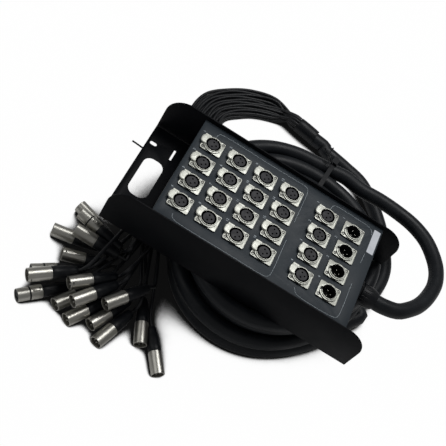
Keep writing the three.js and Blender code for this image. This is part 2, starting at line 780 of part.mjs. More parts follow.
function femalePlugSolid() {
  const inner = shellRadius - shellWall;
  const face = inner - slideGap * 4;
  const plug = revolve([
    [0, bootStep], [face, bootStep], [face, grooveDepth], [inner, grooveDepth], [inner, 0],
    [shellRadius, 0], [shellRadius, femaleShell - bootStep], [bootRadius, femaleShell],
    [bootTip, femaleLength], [0, femaleLength],
  ], plugSides);
  const middle = plugLatchPlace();
  const long = plugLatchLength / 2 + slideGap;
  const wide = plugLatchWidth / 2 + slideGap;
  const floor = shellRadius - plugLatchDepth - plugLatchTravel - slideGap;
  return plug.subtract(block(middle - long, middle + long, -wide, wide, floor, shellRadius + cutOverrun));
}

// The thumb latch of a plug with holes, drawn in the plug's own frame
function plugLatchGeometry() {
  const middle = plugLatchPlace();
  const top = shellRadius + plugLatchRise;
  const foot = shellRadius - plugLatchDepth;
  const shape = new THREE.Shape();
  shape.moveTo(middle - plugLatchLength / 2, foot);
  shape.lineTo(middle + plugLatchLength / 2, foot);
  shape.lineTo(middle + plugLatchLength / 2, top - plugLatchRise);
  shape.lineTo(middle + plugLatchLength / 4, top);
  shape.lineTo(middle - plugLatchLength / 2, top);
  shape.closePath();
  const body = new THREE.ExtrudeGeometry(shape, { depth: plugLatchWidth, bevelEnabled: false });
  return body.rotateX(Math.PI / 2).translate(0, plugLatchWidth / 2, 0);
}

const product = new THREE.Group();
const places = socketPlaces();

product.add(namedMesh('chassis', toGeometry(chassisSolid()), 'blackSteel'));
product.add(namedMesh('cheek_front', cheekSolid(-1), 'blackSteel'));
product.add(namedMesh('cheek_rear', cheekSolid(1), 'blackSteel'));
product.add(namedMesh('connector_panel', toGeometry(panelSolid(places)), 'greyPanel'));

const sendSocket = toGeometry(sendSocketSolid());
places.sends.forEach(([x, y], i) => {
  const socket = namedMesh(`send_socket_${i + 1}`, sendSocket, 'nickel');
  socket.position.set(x, y, panelTop);
  product.add(socket);
});

const tabTop = flangeHeight + tabRise;
const tab = toGeometry(slab(tabShape(0, 0, 0), -tabDepth, tabTop, 2));
const tabPlaces = [...places.inputs.map((place, i) => [place, `input_tab_${i + 1}`]),
  ...places.returns.map((place, i) => [place, `return_tab_${i + 1}`])];
tabPlaces.forEach(([[x, y], name]) => {
  const mesh = namedMesh(name, tab, 'nickel');
  mesh.position.set(x, y, panelTop);
  product.add(mesh);
});

const glandBody = namedMesh('gland_body', toGeometry(glandBodySolid()), 'blackPlastic');
glandBody.position.set(cableWallX, 0, glandZ);
product.add(glandBody);
const glandNut = namedMesh('gland_nut', toGeometry(glandNutSolid()), 'blackPlastic');
glandNut.position.set(cableWallX + glandHex + 2 * seatGap, 0, glandZ);
product.add(glandNut);
const glandMouth = cableWallX + glandHex + 2 * seatGap + nutLength;

const centres = coilCentres();
const rings = ringsAlong(centres, trunkRadius, coilSides);
console.log(`least gap of the coil to itself ${leastGap(rings).toFixed(2)} mm`);
const breakoutStart = above(endRoute)[endRoute.length - 1];
const breakoutWay = above(bundleRoute)[0].sub(breakoutStart).setZ(0).normalize();
product.add(namedMesh('trunk_lead', leadGeometry(centres, glandMouth), 'cable'));
product.add(namedMesh('trunk_coil', toGeometry(coilSolid(rings)), 'cable'));
product.add(namedMesh('trunk_end', toGeometry(endSolid(centres, breakoutStart, breakoutWay)), 'cable'));
product.add(namedMesh('coil_tie', tieGeometry(), 'blackPlastic'));

const breakout = namedMesh('breakout_boot', toGeometry(breakoutSolid()), 'blackPlastic');
const breakoutRise = breakoutRadius - breakoutStart.z + floorZ;
breakout.position.copy(breakoutStart);
breakout.position.z += Math.max(breakoutRise, 0);
breakout.quaternion.setFromUnitVectors(new THREE.Vector3(1, 0, 0), breakoutWay);
product.add(breakout);

const plugs = placedPlugs();
const tailStart = breakout.position.clone().addScaledVector(breakoutWay, breakoutLength);
product.add(namedMesh('fanout_tails', toGeometry(tailsSolid(tailStart, breakoutWay, plugs)), 'cable'));

const malePlug = toGeometry(malePlugSolid());
const femalePlug = toGeometry(femalePlugSolid());
const plugLatch = plugLatchGeometry();
let sendNumber = 0;
let returnNumber = 0;
for (const plug of plugs) {
  const stand = new THREE.Group();
  stand.position.set(plug.x, plug.y, plug.z);
  stand.rotation.z = plug.turn;
  if (plug.kind === 'male') {
    sendNumber += 1;
    stand.add(namedMesh(`male_plug_${sendNumber}`, malePlug, 'nickel'));
  } else {
    returnNumber += 1;
    stand.add(namedMesh(`female_plug_${returnNumber}`, femalePlug, 'nickel'));
    stand.add(namedMesh(`female_plug_latch_${returnNumber}`, plugLatch, 'nickel'));
  }
  product.add(stand);
}

export default product;
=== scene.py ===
from math import atan2, cos, pi, radians, sin

import bmesh
import bpy
from mathutils import Matrix, Vector


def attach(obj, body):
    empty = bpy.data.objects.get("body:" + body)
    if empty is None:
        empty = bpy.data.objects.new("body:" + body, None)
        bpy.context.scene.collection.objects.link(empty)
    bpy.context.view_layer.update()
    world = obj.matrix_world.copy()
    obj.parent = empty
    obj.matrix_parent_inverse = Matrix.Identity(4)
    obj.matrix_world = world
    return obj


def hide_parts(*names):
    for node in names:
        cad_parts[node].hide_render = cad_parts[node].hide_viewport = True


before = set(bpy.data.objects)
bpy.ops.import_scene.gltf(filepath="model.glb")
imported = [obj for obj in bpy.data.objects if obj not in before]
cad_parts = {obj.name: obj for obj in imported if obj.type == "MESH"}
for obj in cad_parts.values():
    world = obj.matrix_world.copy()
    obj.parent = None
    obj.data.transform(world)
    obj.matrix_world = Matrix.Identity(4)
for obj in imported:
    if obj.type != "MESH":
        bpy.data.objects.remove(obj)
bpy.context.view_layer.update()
scene = bpy.context.scene
mm = 0.001

# The box's sizes in millimetres, from its middle
box = {
    "length": 384, "width": 185, "height": 74, "handleReach": 55, "cableReach": 37,
    "cheek": 2.0, "cheekCorner": 34, "sheet": 1.5, "panelDrop": 7, "gap": 0.3,
}
topZ = box["height"] / 2
endX = box["length"] / 2
handleWallX = box["handleReach"] - endX
cableWallX = endX - box["cableReach"]
panelTop = topZ - box["panelDrop"]
innerWidth = box["width"] - 2 * (box["cheek"] + box["gap"])

# Camera, where the photograph was taken from
camera = {
    "place": (-151.7, -780.9, 1002.7), "right": (0.84854, 0.37555, 0.37274),
    "down": (0.52249, -0.70591, -0.47822), "forward": (0.08353, 0.60054, -0.79522),
    "lens": 76.19, "sensor": 36,
}
cameraData = bpy.data.cameras.new("camera")
cameraData.lens = camera["lens"]
cameraData.sensor_width = camera["sensor"]
cameraData.clip_start = 0.05
cameraData.clip_end = 50
cameraObject = bpy.data.objects.new("camera", cameraData)
scene.collection.objects.link(cameraObject)
columns = [Vector(camera["right"]), -Vector(camera["down"]), -Vector(camera["forward"])]
turn = Matrix([[column[row] for column in columns] for row in range(3)]).to_4x4()
cameraObject.matrix_world = Matrix.Translation(Vector(camera["place"]) * mm) @ turn
scene.camera = cameraObject
scene.view_settings.view_transform = "Standard"

# Finishes. A look holds two colours that blend in blotches, a roughness range and a fine bump.
finishes = {
    "powderBlack": {"base": (0.0018, 0.0023, 0.0036), "second": (0.0030, 0.0036, 0.0052), "metallic": 0.0,
                    "specular": 0.10, "rough": (0.42, 0.56), "blotch": 18, "grain": 2600, "bump": 0.10},
    "panelGrey": {"base": (0.021, 0.029, 0.037), "second": (0.027, 0.036, 0.045), "metallic": 0.0,
                  "specular": 0.3, "rough": (0.46, 0.60), "blotch": 26, "grain": 3200, "bump": 0.06},
    "socketSilver": {"base": (0.60, 0.61, 0.55), "second": (0.55, 0.56, 0.50), "metallic": 0.4,
                     "specular": 0.5, "rough": (0.34, 0.48), "blotch": 160, "grain": 3000, "bump": 0.05},
    # Socket walls: painted shade, a dark finish for upright faces that the lamps light less
    "socketPaintedShade": {"base": (0.009, 0.009, 0.009), "second": (0.014, 0.014, 0.014), "metallic": 0.0,
                   "specular": 0.15, "rough": (0.40, 0.52), "blotch": 160, "grain": 3000, "bump": 0.03},
    "tabSilver": {"base": (0.72, 0.73, 0.66), "second": (0.64, 0.65, 0.58), "metallic": 0.3,
                  "specular": 0.5, "rough": (0.36, 0.50), "blotch": 200, "grain": 3000, "bump": 0.04},
    "shellNickel": {"base": (0.50, 0.49, 0.45), "second": (0.44, 0.43, 0.39), "metallic": 0.95,
                    "specular": 0.5, "rough": (0.30, 0.40), "blotch": 40, "grain": 2400, "bump": 0.0},
    "pinSilver": {"base": (0.62, 0.61, 0.56), "second": (0.50, 0.49, 0.45), "metallic": 1.0,
                  "specular": 0.5, "rough": (0.18, 0.28), "blotch": 300, "grain": 4000, "bump": 0.02},
    "screwSteel": {"base": (0.40, 0.40, 0.37), "second": (0.26, 0.26, 0.24), "metallic": 0.9,
                   "specular": 0.5, "rough": (0.35, 0.50), "blotch": 300, "grain": 3000, "bump": 0.05},
    "insertGrey": {"base": (0.027, 0.027, 0.031), "second": (0.021, 0.021, 0.025), "metallic": 0.0,
                   "specular": 0.3, "rough": (0.45, 0.60), "blotch": 120, "grain": 3600, "bump": 0.05},
    # Black plastic, and also painted shade in the sockets' grooves, contact holes, bore linings and wells
    "insertBlackAndShade": {"base": (0.004, 0.004, 0.005), "second": (0.007, 0.007, 0.008), "metallic": 0.0,
                    "specular": 0.25, "rough": (0.40, 0.55), "blotch": 120, "grain": 3600, "bump": 0.05},
    "mouldedBlack": {"base": (0.004, 0.005, 0.007), "second": (0.008, 0.009, 0.011), "metallic": 0.0,
                     "specular": 0.25, "rough": (0.34, 0.48), "blotch": 60, "grain": 2200, "bump": 0.08},
    "trunkJacket": {"base": (0.006, 0.0075, 0.010), "second": (0.010, 0.012, 0.015), "metallic": 0.0,
                    "specular": 0.26, "rough": (0.38, 0.52), "blotch": 34, "grain": 1500, "bump": 0.10},
    "tailJacket": {"base": (0.006, 0.007, 0.009), "second": (0.011, 0.012, 0.014), "metallic": 0.0,
                   "specular": 0.35, "rough": (0.36, 0.50), "blotch": 60, "grain": 2400, "bump": 0.06},
    "printInk": {"base": (0.56, 0.62, 0.66), "second": (0.46, 0.52, 0.56), "metallic": 0.0,
                 "specular": 0.3, "rough": (0.50, 0.65), "blotch": 200, "grain": 3000, "bump": 0.02},
    "labelPaper": {"base": (0.72, 0.75, 0.80), "second": (0.64, 0.67, 0.72), "metallic": 0.0,
                   "specular": 0.3, "rough": (0.50, 0.62), "blotch": 90, "grain": 2600, "bump": 0.03},
}


# The noise that all finishes share. The middle part of its range is spread from 0 to 1.
surfaceLook = {
    "detail": {"Blotch": 5, "Grain": 3}, "roughness": 0.6, "range": (0.34, 0.66), "bumpDepth": 0.0002,
}


def setInputs(node, values):
    for name, value in values.items():
        node.inputs[name].default_value = value
    return node


def link(tree, source, output, target, entry):
    tree.links.new(source.outputs[output], target.inputs[entry])


def makeSurfaceNoise():
    group = bpy.data.node_groups.new("surfaceNoise", "ShaderNodeTree")
    for name, highest, value in (("Blotch Scale", 5000, 20), ("Grain Scale", 9000, 2000)):
        entry = group.interface.new_socket(name, in_out="INPUT", socket_type="NodeSocketFloat")
        entry.min_value, entry.max_value, entry.default_value = 0, highest, value
    for name in surfaceLook["detail"]:
        group.interface.new_socket(name, in_out="OUTPUT", socket_type="NodeSocketFloat")
    inputs = group.nodes.new("NodeGroupInput")
    outputs = group.nodes.new("NodeGroupOutput")
    place = group.nodes.new("ShaderNodeTexCoord")
    low, high = surfaceLook["range"]
    for name, detail in surfaceLook["detail"].items():
        noise = group.nodes.new("ShaderNodeTexNoise")
        setInputs(noise, {"Detail": detail, "Roughness": surfaceLook["roughness"]})
        spread = setInputs(group.nodes.new("ShaderNodeMapRange"), {"From Min": low, "From Max": high})
        link(group, place, "Object", noise, "Vector")
        link(group, inputs, name + " Scale", noise, "Scale")
        link(group, noise, "Fac", spread, "Value")
        link(group, spread, "Result", outputs, name)
    return group


def makeFinish(name, look, noiseGroup):
    material = bpy.data.materials.new(name)
    material.use_nodes = True
    tree = material.node_tree
    shader = tree.nodes["Principled BSDF"]
    noise = tree.nodes.new("ShaderNodeGroup")
    noise.node_tree = noiseGroup
    setInputs(noise, {"Blotch Scale": look["blotch"], "Grain Scale": look["grain"]})
    blend = tree.nodes.new("ShaderNodeMix")
    blend.data_type = "RGBA"
    setInputs(blend, {"A": (*look["base"], 1), "B": (*look["second"], 1)})
    low, high = look["rough"]
    roughness = setInputs(tree.nodes.new("ShaderNodeMapRange"), {"To Min": low, "To Max": high})
    bump = tree.nodes.new("ShaderNodeBump")
    setInputs(bump, {"Strength": look["bump"], "Distance": surfaceLook["bumpDepth"]})
    link(tree, noise, "Blotch", blend, "Factor")
    link(tree, blend, "Result", shader, "Base Color")
    link(tree, noise, "Blotch", roughness, "Value")
    link(tree, roughness, "Result", shader, "Roughness")
    link(tree, noise, "Grain", bump, "Height")
    link(tree, bump, "Normal", shader, "Normal")
    setInputs(shader, {"Metallic": look["metallic"], "Specular IOR Level": look["specular"]})
    return material


surfaceNoise = makeSurfaceNoise()
materials = {name: makeFinish(name, look, surfaceNoise) for name, look in finishes.items()}
print("finishes made", len(materials))

# Floor, world and lamps, in metres. The floor glows for the camera alone, less where the object covers it:
# ambient occlusion dims the glow, a painted shadow.
stageLook = {
    "floorSize": 8, "floorDrop": 0.0002, "floorColor": (0.92, 0.92, 0.92), "floorRough": 0.9,
    "floorGlow": 0.99, "shadeReach": 0.35, "shadeSamples": 48, "shade": (0.42, 0.58, 0.004),
    "worldLevel": 0.18,
    "lamps": [
        {"name": "keyLamp", "place": (0.15, 0.65, 1.45), "size": 0.8, "watts": 12},
        {"name": "fillLamp", "place": (-1.25, -0.3, 1.0), "size": 1.0, "watts": 3},
        {"name": "frontLamp", "place": (0.7, -1.3, 0.9), "size": 1.0, "watts": 0.6},
    ],
}
floorZ = -128.8  # the height of the floor, in millimetres


def makeFloor():
    bpy.ops.object.select_all(action="DESELECT")
    place = (0, 0, floorZ * mm - stageLook["floorDrop"])
    bpy.ops.mesh.primitive_plane_add(size=stageLook["floorSize"], location=place)
    floor = bpy.context.object
    floor.name = "floor"
    material = bpy.data.materials.new("floorWhite")
    material.use_nodes = True
    tree = material.node_tree
    shader = tree.nodes["Principled BSDF"]
    setInputs(shader, {"Base Color": (*stageLook["floorColor"], 1), "Roughness": stageLook["floorRough"]})
    glow = tree.nodes.new("ShaderNodeEmission")
    # Ambient occlusion sets the glow's strength: painted shadow under and near the object
    cover = tree.nodes.new("ShaderNodeAmbientOcclusion")
    cover.samples = stageLook["shadeSamples"]
    setInputs(cover, {"Distance": stageLook["shadeReach"]})
    shade = tree.nodes.new("ShaderNodeMapRange")
    shade.interpolation_type = "SMOOTHSTEP"
    setInputs(shade, dict(zip(("From Min", "From Max", "To Min"), stageLook["shade"])))
    rays = tree.nodes.new("ShaderNodeLightPath")
    share = tree.nodes.new("ShaderNodeMath")
    share.operation = "MULTIPLY"
    setInputs(share, {1: stageLook["floorGlow"]})
    mix = tree.nodes.new("ShaderNodeMixShader")
    link(tree, cover, "AO", shade, "Value")
    link(tree, shade, "Result", glow, "Strength")
    link(tree, rays, "Is Camera Ray", share, 0)
    link(tree, share, "Value", mix, "Fac")
    link(tree, shader, "BSDF", mix, 1)
    link(tree, glow, "Emission", mix, 2)
    link(tree, mix, "Shader", tree.nodes["Material Output"], "Surface")
    floor.data.materials.append(material)


def makeWorld():
    world = bpy.data.worlds.new("studio")
    world.use_nodes = True
    scene.world = world
    tree = world.node_tree
    backdrop = setInputs(tree.nodes["Background"], {"Color": (1, 1, 1, 1)})
    rays = tree.nodes.new("ShaderNodeLightPath")
    seen = tree.nodes.new("ShaderNodeMath")
    seen.operation = "MAXIMUM"
    level = tree.nodes.new("ShaderNodeMapRange")
    setInputs(level, {"To Min": stageLook["worldLevel"], "To Max": 1})
    link(tree, rays, "Is Camera Ray", seen, 0)
    link(tree, rays, "Is Transmission Ray", seen, 1)
    link(tree, seen, "Value", level, "Value")
    link(tree, level, "Result", backdrop, "Strength")


def makeLamps():
    for lamp in stageLook["lamps"]:
        data = bpy.data.lights.new(lamp["name"], "AREA")
        data.shape = "SQUARE"
        data.size = lamp["size"]
        data.energy = lamp["watts"]
        light = bpy.data.objects.new(lamp["name"], data)
        scene.collection.objects.link(light)
        light.location = lamp["place"]
        light.rotation_euler = (-Vector(lamp["place"])).to_track_quat("-Z", "Y").to_euler()


makeFloor()
makeWorld()
makeLamps()
print("stage set")

# Cords. The routes are given points in millimetres. They follow the solids' own, but the lead's last
# points and three of the trunk's end lie nearer the coil, and each tail is a cable of its own. A height in
# "end" or "route" is from the floor.
trunk = {
    "diameter": 23, "slack": 0.2, "spacing": 7, "sides": 8, "turnPitch": 23.6, "coilX": 48, "coilY": 51.2,
    "coilRadius": 154.5, "layers": 4, "stepsPerLoop": 24, "startStep": 6, "steps": 257,
    "oval": (0.044, 1.041), "trefoil": (0.036, 0.294), "gland": (188.0, 0, -3),
    "lead": [
        (198.9, 0, -3), (225, 7, -4), (241, 22, -7), (256, 43, -12), (267, 70, -17), (273, 101, -22),
        (270, 130, -27), (259, 156, -32), (242, 178, -36), (217, 194, -40), (188, 203, -44),
        (156, 207.5, -47), (122, 207, -48.6),
    ],
    "end": [
        (206, 60, 11.6), (222, 105, 11.8), (225, 150, 11.8), (210, 191, 11.8), (191, 226, 11.8),
        (166, 257, 11.8), (136, 283, 11.8), (98, 294, 11.8), (58, 304, 11.8), (34, 311, 12.4),
    ],
}
breakout = {"length": 36, "height": 15.5, "trunkInside": 4}
# Rings: the first tail and the count in each, at the boot. Stacks: side, count and lowest row of each
# column, where the tails are packed. Resting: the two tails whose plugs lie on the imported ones.
tails = {
    "diameter": 5, "pitch": 5.35, "spacing": 5, "sides": 4,
    "rings": [(0, 1), (1, 6), (7, 13)], "ringPitch": 4.9, "bootGap": 0.5, "straight": 8,
    "route": [
        (-45, 325, 0), (-82, 312, 0), (-112, 290, 0), (-133, 262, 0), (-138, 226, 0), (-132, 190, 0),
        (-127, 150, 0), (-125, 110, 0), (-125, 72, 0), (-124, 44, 0),
    ],
    "packed": [0.35, 0.05, 0, 0, 0, 0.3, 0.8, 1, 1, 1],
    "stacks": [(-1.5, 4, 0), (-0.5, 4, 0), (0, 2, 4), (0.5, 4, 0), (1.5, 4, 0)],
    "floorHeight": 2.8, "upperRise": 4.4, "wander": 1.17, "waves": (2.1, 1.7),
    "restingRow": 4.9, "restingLeave": 5, "restingTurn": (158, 26), "restingMiddle": (126, 34),
    "restingSag": 2, "intoPlug": 1.5, "lead": 12, "coilReach": 173,
    "hiddenPlug": 17, "hiddenBend": (-0.9, 6.8), "hiddenReach": 167,
}
# Each plug: kind, x and y of its mouth, heading in degrees and height of its axis from the floor, then its
# tail's height behind the boot, its height half way to the bundle and its swing aside there
lowPlug, highPlug = 9.5, 35
plugPlaces = [
    ("male", -224.6, -40.2, -18.4, lowPlug, 22.3, 18, 0),
    ("female", -216.3, -65.9, -12.8, highPlug, 50, 45, 8),
    ("male", -238, -96.1, 10.6, lowPlug, 15, 22.3, 14),
    ("male", -210.1, -92.9, -0.8, highPlug, 35, 50, 16),
    ("male", -208.8, -122, 20.1, lowPlug, 9.5, 22.3, 7),
    ("female", -231, -168.2, 36.3, lowPlug, 20, 22.3, 0),
    ("male", -229.7, -191.3, 41, highPlug, 45, 52, 7),
    ("female", -228.1, -211, 45.8, lowPlug, 14, 22.3, -14),
    ("male", -179, -169.7, 43.3, highPlug, 50, 33, -14),
    ("male", -180.1, -193.8, 59.1, lowPlug, 15, 22.3, -7),
    ("male", -162.3, -189.9, 55.1, highPlug, 45, 28, -7),
    ("male", -157, -204.6, 59.4, lowPlug, 9.5, 20, -7),
    ("male", -126.5, -192.7, 64.9, lowPlug, 22.3, 22.3, 14),
    ("male", -124.1, -169.2, 55.1, highPlug, 30, 28, 0),
    ("male", -108.2, -211, 72, lowPlug, 22.3, 22.3, 0),
    ("male", -55.3, -180.3, 112, lowPlug, 15, 22.3, 14),
    ("male", -15.3, -205.2, 123.6, lowPlug, 9.5, 20, 0),
    ("female", -188, -46, 14, highPlug, 35, 28, -2),
]
restingPlugs = [("male", -125, 22, 90, 43.4), ("male", -125, 22, 90, 62.8)]
plugSizes = {"maleShell": 32, "femaleShell": 34, "maleBoot": 36, "femaleBoot": 40}


# A centripetal curve through the points, evenly stepped
def smoothLine(points, spacing):
    padded = [points[0] * 2 - points[1], *points, points[-1] * 2 - points[-2]]
    line = []
    for a, b, c, d in zip(padded, padded[1:], padded[2:], padded[3:]):
        t1 = max((b - a).length, 0.001) ** 0.5
        t2 = t1 + max((c - b).length, 0.001) ** 0.5
        t3 = t2 + max((d - c).length, 0.001) ** 0.5
        count = max(round((c - b).length / spacing), 1)
        for step in range(count):
            t = t1 + (t2 - t1) * step / count
            ab = a.lerp(b, t / t1) if t1 else b
            bc = b.lerp(c, (t - t1) / (t2 - t1))
            cd = c.lerp(d, (t - t2) / (t3 - t2))
            abc = ab.lerp(bc, t / t2)
            bcd = bc.lerp(cd, (t - t1) / (t3 - t1))
            line.append(abc.lerp(bcd, (t - t1) / (t2 - t1)))
    line.append(points[-1].copy())
    return line


# A round cord along the points, as a curve of the given thickness
def makeCord(name, points, diameter, material, sides):
    data = bpy.data.curves.new(name, "CURVE")
    data.dimensions = "3D"
    spline = data.splines.new("POLY")
    spline.points.add(len(points) - 1)
    for target, point in zip(spline.points, points):
        target.co = (*(point * mm), 1)
    spline.use_smooth = True
    data.bevel_depth = diameter / 2 * mm
    data.bevel_resolution = sides
    data.use_fill_caps = True
    data.materials.append(material)
    cord = bpy.data.objects.new(name, data)
    scene.collection.objects.link(cord)
    return cord


def lengthOf(points):
    return sum((b - a).length for a, b in zip(points, points[1:])) * mm


def smoothStep(value, low, high):
    share = min(max((value - low) / (high - low), 0), 1)
    return share * share * (3 - 2 * share)


coilTopZ = -topZ - box["gap"] - trunk["diameter"] / 2
coilFloorZ = floorZ + trunk["diameter"] / 2
layerDrop = (coilTopZ - coilFloorZ) / (trunk["layers"] - 1)


def coilPoint(step):
    turned = 2 * pi * step / trunk["stepsPerLoop"]
    angle = 2 * pi * trunk["startStep"] / trunk["stepsPerLoop"] + turned
    leg = 2 * pi * trunk["steps"] / trunk["stepsPerLoop"] / trunk["layers"]
    across = abs((turned / leg + 1) % 2 - 1)
    ovalShare, ovalTurn = trunk["oval"]
    trefoilShare, trefoilTurn = trunk["trefoil"]
    squeeze = ovalShare * cos(2 * (angle - ovalTurn)) + trefoilShare * cos(3 * (angle - trefoilTurn))
    radius = trunk["coilRadius"] * (1 + squeeze) - trunk["turnPitch"] * leg / (2 * pi) * across
    height = coilTopZ
    for layer in range(1, trunk["layers"]):
        height -= layerDrop * smoothStep(turned, layer * leg - pi / 2, layer * leg + pi / 2)
    return Vector((trunk["coilX"] + radius * cos(angle), trunk["coilY"] + radius * sin(angle), height))


def straightOut(step, way, reach):
    ahead = coilPoint(step) - coilPoint(step - way)
    ahead.z = 0
    return coilPoint(step) + ahead.normalized() * reach


def aboveFloor(route):
    return [Vector((x, y, floorZ + height)) for x, y, height in route]


bootStart = aboveFloor(trunk["end"])[-1]
bootWay = aboveFloor(tails["route"])[0] - bootStart
bootWay.z = 0
bootWay.normalize()
bootAxisZ = floorZ + breakout["height"]


def makeTrunk():
    points = [Vector(trunk["gland"]), *(Vector(p) for p in trunk["lead"])]
    points += [straightOut(0, -1, trunk["diameter"] * reach) for reach in (2, 1)]
    points += [coilPoint(step) for step in range(trunk["steps"] + 1)]
    points += [straightOut(trunk["steps"], 1, trunk["diameter"] * reach) for reach in (1, 2)]
    points += aboveFloor(trunk["end"][:-1])
    points += [bootStart - bootWay * trunk["diameter"], bootStart + bootWay * breakout["trunkInside"]]
    line = smoothLine(points, trunk["spacing"])
    diameter = trunk["diameter"] - trunk["slack"]
    cord = makeCord("trunkCable", line, diameter, materials["trunkJacket"], trunk["sides"])
    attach(cord, "box")
    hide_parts("trunk_lead", "trunk_coil", "trunk_end")
    return cord, line


trunkCord, trunkLine = makeTrunk()
print("trunk laid", round(lengthOf(trunkLine), 2), "m")


def placedPlugs():
    placed = []
    for index, place in enumerate([*plugPlaces, *restingPlugs]):
        kind, x, y, turned, height = place[:5]
        way = Vector((cos(radians(turned)), sin(radians(turned)), 0))
        long = plugSizes[kind + "Shell"] + plugSizes[kind + "Boot"]
        tip = Vector((x, y, floorZ + height))
        placed.append({"index": index, "kind": kind, "tip": tip, "rear": tip + way * long, "way": way,
                       "turn": radians(turned), "resting": len(place) == 5, "route": place[5:]})
    return placed


plugs = placedPlugs()


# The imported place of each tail: column across the bundle and row up it
def laneOrder():
    end = aboveFloor(tails["route"])[-1]
    low = [plug for plug in plugs if not plug["resting"]]
    low.sort(key=lambda plug: atan2(plug["rear"].x - end.x, end.y - plug["rear"].y))
    lanes = {}
    first = 0
    for side, count, lowest in tails["stacks"]:
        group = low[first:first + count]
        group.sort(key=lambda plug: (plug["tip"].z, (plug["rear"] - end).length))
        for row, plug in enumerate(group, lowest):
            lanes[plug["index"]] = (side, row)
        first += count
    for plug in plugs:
        if plug["resting"]:
            lanes[plug["index"]] = (-0.5 if plug["index"] % 2 else 0.5, tails["restingRow"])
    return lanes


# Moves a point out of the coil, to at least the reach from its middle
def besideCoil(point, reach):
    middle = Vector((trunk["coilX"], trunk["coilY"], point.z))
    away = point - middle
    return middle + away.normalized() * max(away.length, reach)


# Where a tail leaves the boot, on its ring
def startInBoot(rank):
    ring = max(index for index, (first, count) in enumerate(tails["rings"]) if rank >= first)
    first, count = tails["rings"][ring]
    spoke = radians(360 / count * (rank - first))
    reach = ring * tails["ringPitch"]
    start = bootStart + bootWay * (breakout["length"] + tails["bootGap"])
    start.z = bootAxisZ
    across = Vector((bootWay.y, -bootWay.x, 0))
    return start + across * cos(spoke) * reach + Vector((0, 0, sin(spoke) * reach))


# From the boot the tails lie in two rows, the upper one half a pitch aside, and draw together into stacks
def tailPoints(plug, lane, rank):
    side, row = lane
    pitch = tails["pitch"]
    start = startInBoot(rank)
    points = [start, start + bootWay * tails["straight"]]
    upper = rank % 2
    spread = (rank // 2 + upper / 2 - (len(plugs) / 2 - 0.5) / 2) * pitch
    waveAlong, waveAcross = tails["waves"]
    route = aboveFloor(tails["route"])
    for index, point in enumerate(route):
        if plug["resting"] and index > tails["restingLeave"]:
            break
        ahead = route[min(index + 1, len(route) - 1)] - route[max(index - 1, 0)]
        sideWay = Vector((ahead.y, -ahead.x, 0)).normalized()
        share = tails["packed"][index]
        wave = tails["wander"] * (1 - share) * sin(waveAlong * index + waveAcross * rank)
        lateral = (spread + wave) * (1 - share) + side * pitch * share
        height = (tails["floorHeight"] + tails["upperRise"] * upper) * (1 - share)
        height += (tails["floorHeight"] + row * pitch) * share
        points.append(point + sideWay * lateral + Vector((0, 0, height)))
    rear, way = plug["rear"], plug["way"]
    out, lead, bend = (rear + way * reach for reach in (-tails["intoPlug"], pitch, tails["lead"]))
    if plug["resting"]:
        turnY, turnHeight = tails["restingTurn"]
        middleY, middleHeight = tails["restingMiddle"]
        points.append(Vector((bend.x, turnY, floorZ + turnHeight)))
        points.append(Vector((bend.x, middleY, (plug["tip"].z + floorZ + middleHeight) / 2)))
        return [*points, bend - Vector((0, 0, tails["restingSag"])), lead, out]
    coilReach = tails["coilReach"]
    if plug["index"] == tails["hiddenPlug"]:
        bend += Vector((*tails["hiddenBend"], 0))
        coilReach = tails["hiddenReach"]
    rise, hump, swing = plug["route"]
    ahead = bend - points[-1]
    middle = (points[-1] + bend) / 2 + Vector((ahead.y, -ahead.x, 0)).normalized() * swing
    middle.z = floorZ + hump
    bend.z = floorZ + rise
    return [*points, besideCoil(middle, coilReach), besideCoil(bend, coilReach), lead, out]


def makeTails():
    lanes = laneOrder()
    ranked = sorted(plugs, key=lambda plug: (lanes[plug["index"]], plug["index"]))
    made = {}
    for rank, plug in enumerate(ranked):
        line = smoothLine(tailPoints(plug, lanes[plug["index"]], rank), tails["spacing"])
        name = f"tail{plug['index'] + 1}"
        cord = makeCord(name, line, tails["diameter"], materials["tailJacket"], tails["sides"])
        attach(cord, "box")
        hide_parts("fanout_tails")
        made[plug["index"]] = (cord, line)
    return made


tailCords = makeTails()
print("tails laid", len(tailCords))

# Small helpers for the modelled pieces. Sizes are in millimetres.
def makeActive(piece):
    bpy.ops.object.select_all(action="DESELECT")
    piece.select_set(True)
    bpy.context.view_layer.objects.active = piece


def takeNew(name):
    piece = bpy.context.object
    piece.name = name
    bpy.ops.object.transform_apply(location=True, rotation=True, scale=True)
    return piece


def startBox(name, low, high):
    low, high = Vector(low) * mm, Vector(high) * mm
    bpy.ops.object.select_all(action="DESELECT")
    bpy.ops.mesh.primitive_cube_add(size=1, location=(low + high) / 2, scale=high - low)
    return takeNew(name)


def startRod(name, radius, x, y, low, high, sides=48):
    bpy.ops.object.select_all(action="DESELECT")
    middle = Vector((x, y, (low + high) / 2)) * mm
    depth = (high - low) * mm
    bpy.ops.mesh.primitive_cylinder_add(vertices=sides, radius=radius * mm, depth=depth, location=middle)
    return takeNew(name)


# Selects the edges or faces that a test picks, and stays in edit mode
def pickParts(piece, kind, test):
    makeActive(piece)
    bpy.ops.object.mode_set(mode="EDIT")
    bpy.ops.mesh.select_mode(type=kind)
    bpy.ops.mesh.select_all(action="DESELECT")
    shape = bmesh.from_edit_mesh(piece.data)
    for part in shape.edges if kind == "EDGE" else shape.faces:
        part.select_set(test(part))
    bmesh.update_edit_mesh(piece.data)


# Rounds the edges that a test picks by their two ends
def roundEdges(piece, width, segments, test):
    pickParts(piece, "EDGE", lambda edge: test(*(vert.co / mm for vert in edge.verts)))
    bpy.ops.mesh.bevel(offset=width * mm, segments=segments, affect="EDGES")
    bpy.ops.object.mode_set(mode="OBJECT")


def isUpright(a, b):
    return abs(a.z - b.z) > 0.01 and (a.xy - b.xy).length < 0.01


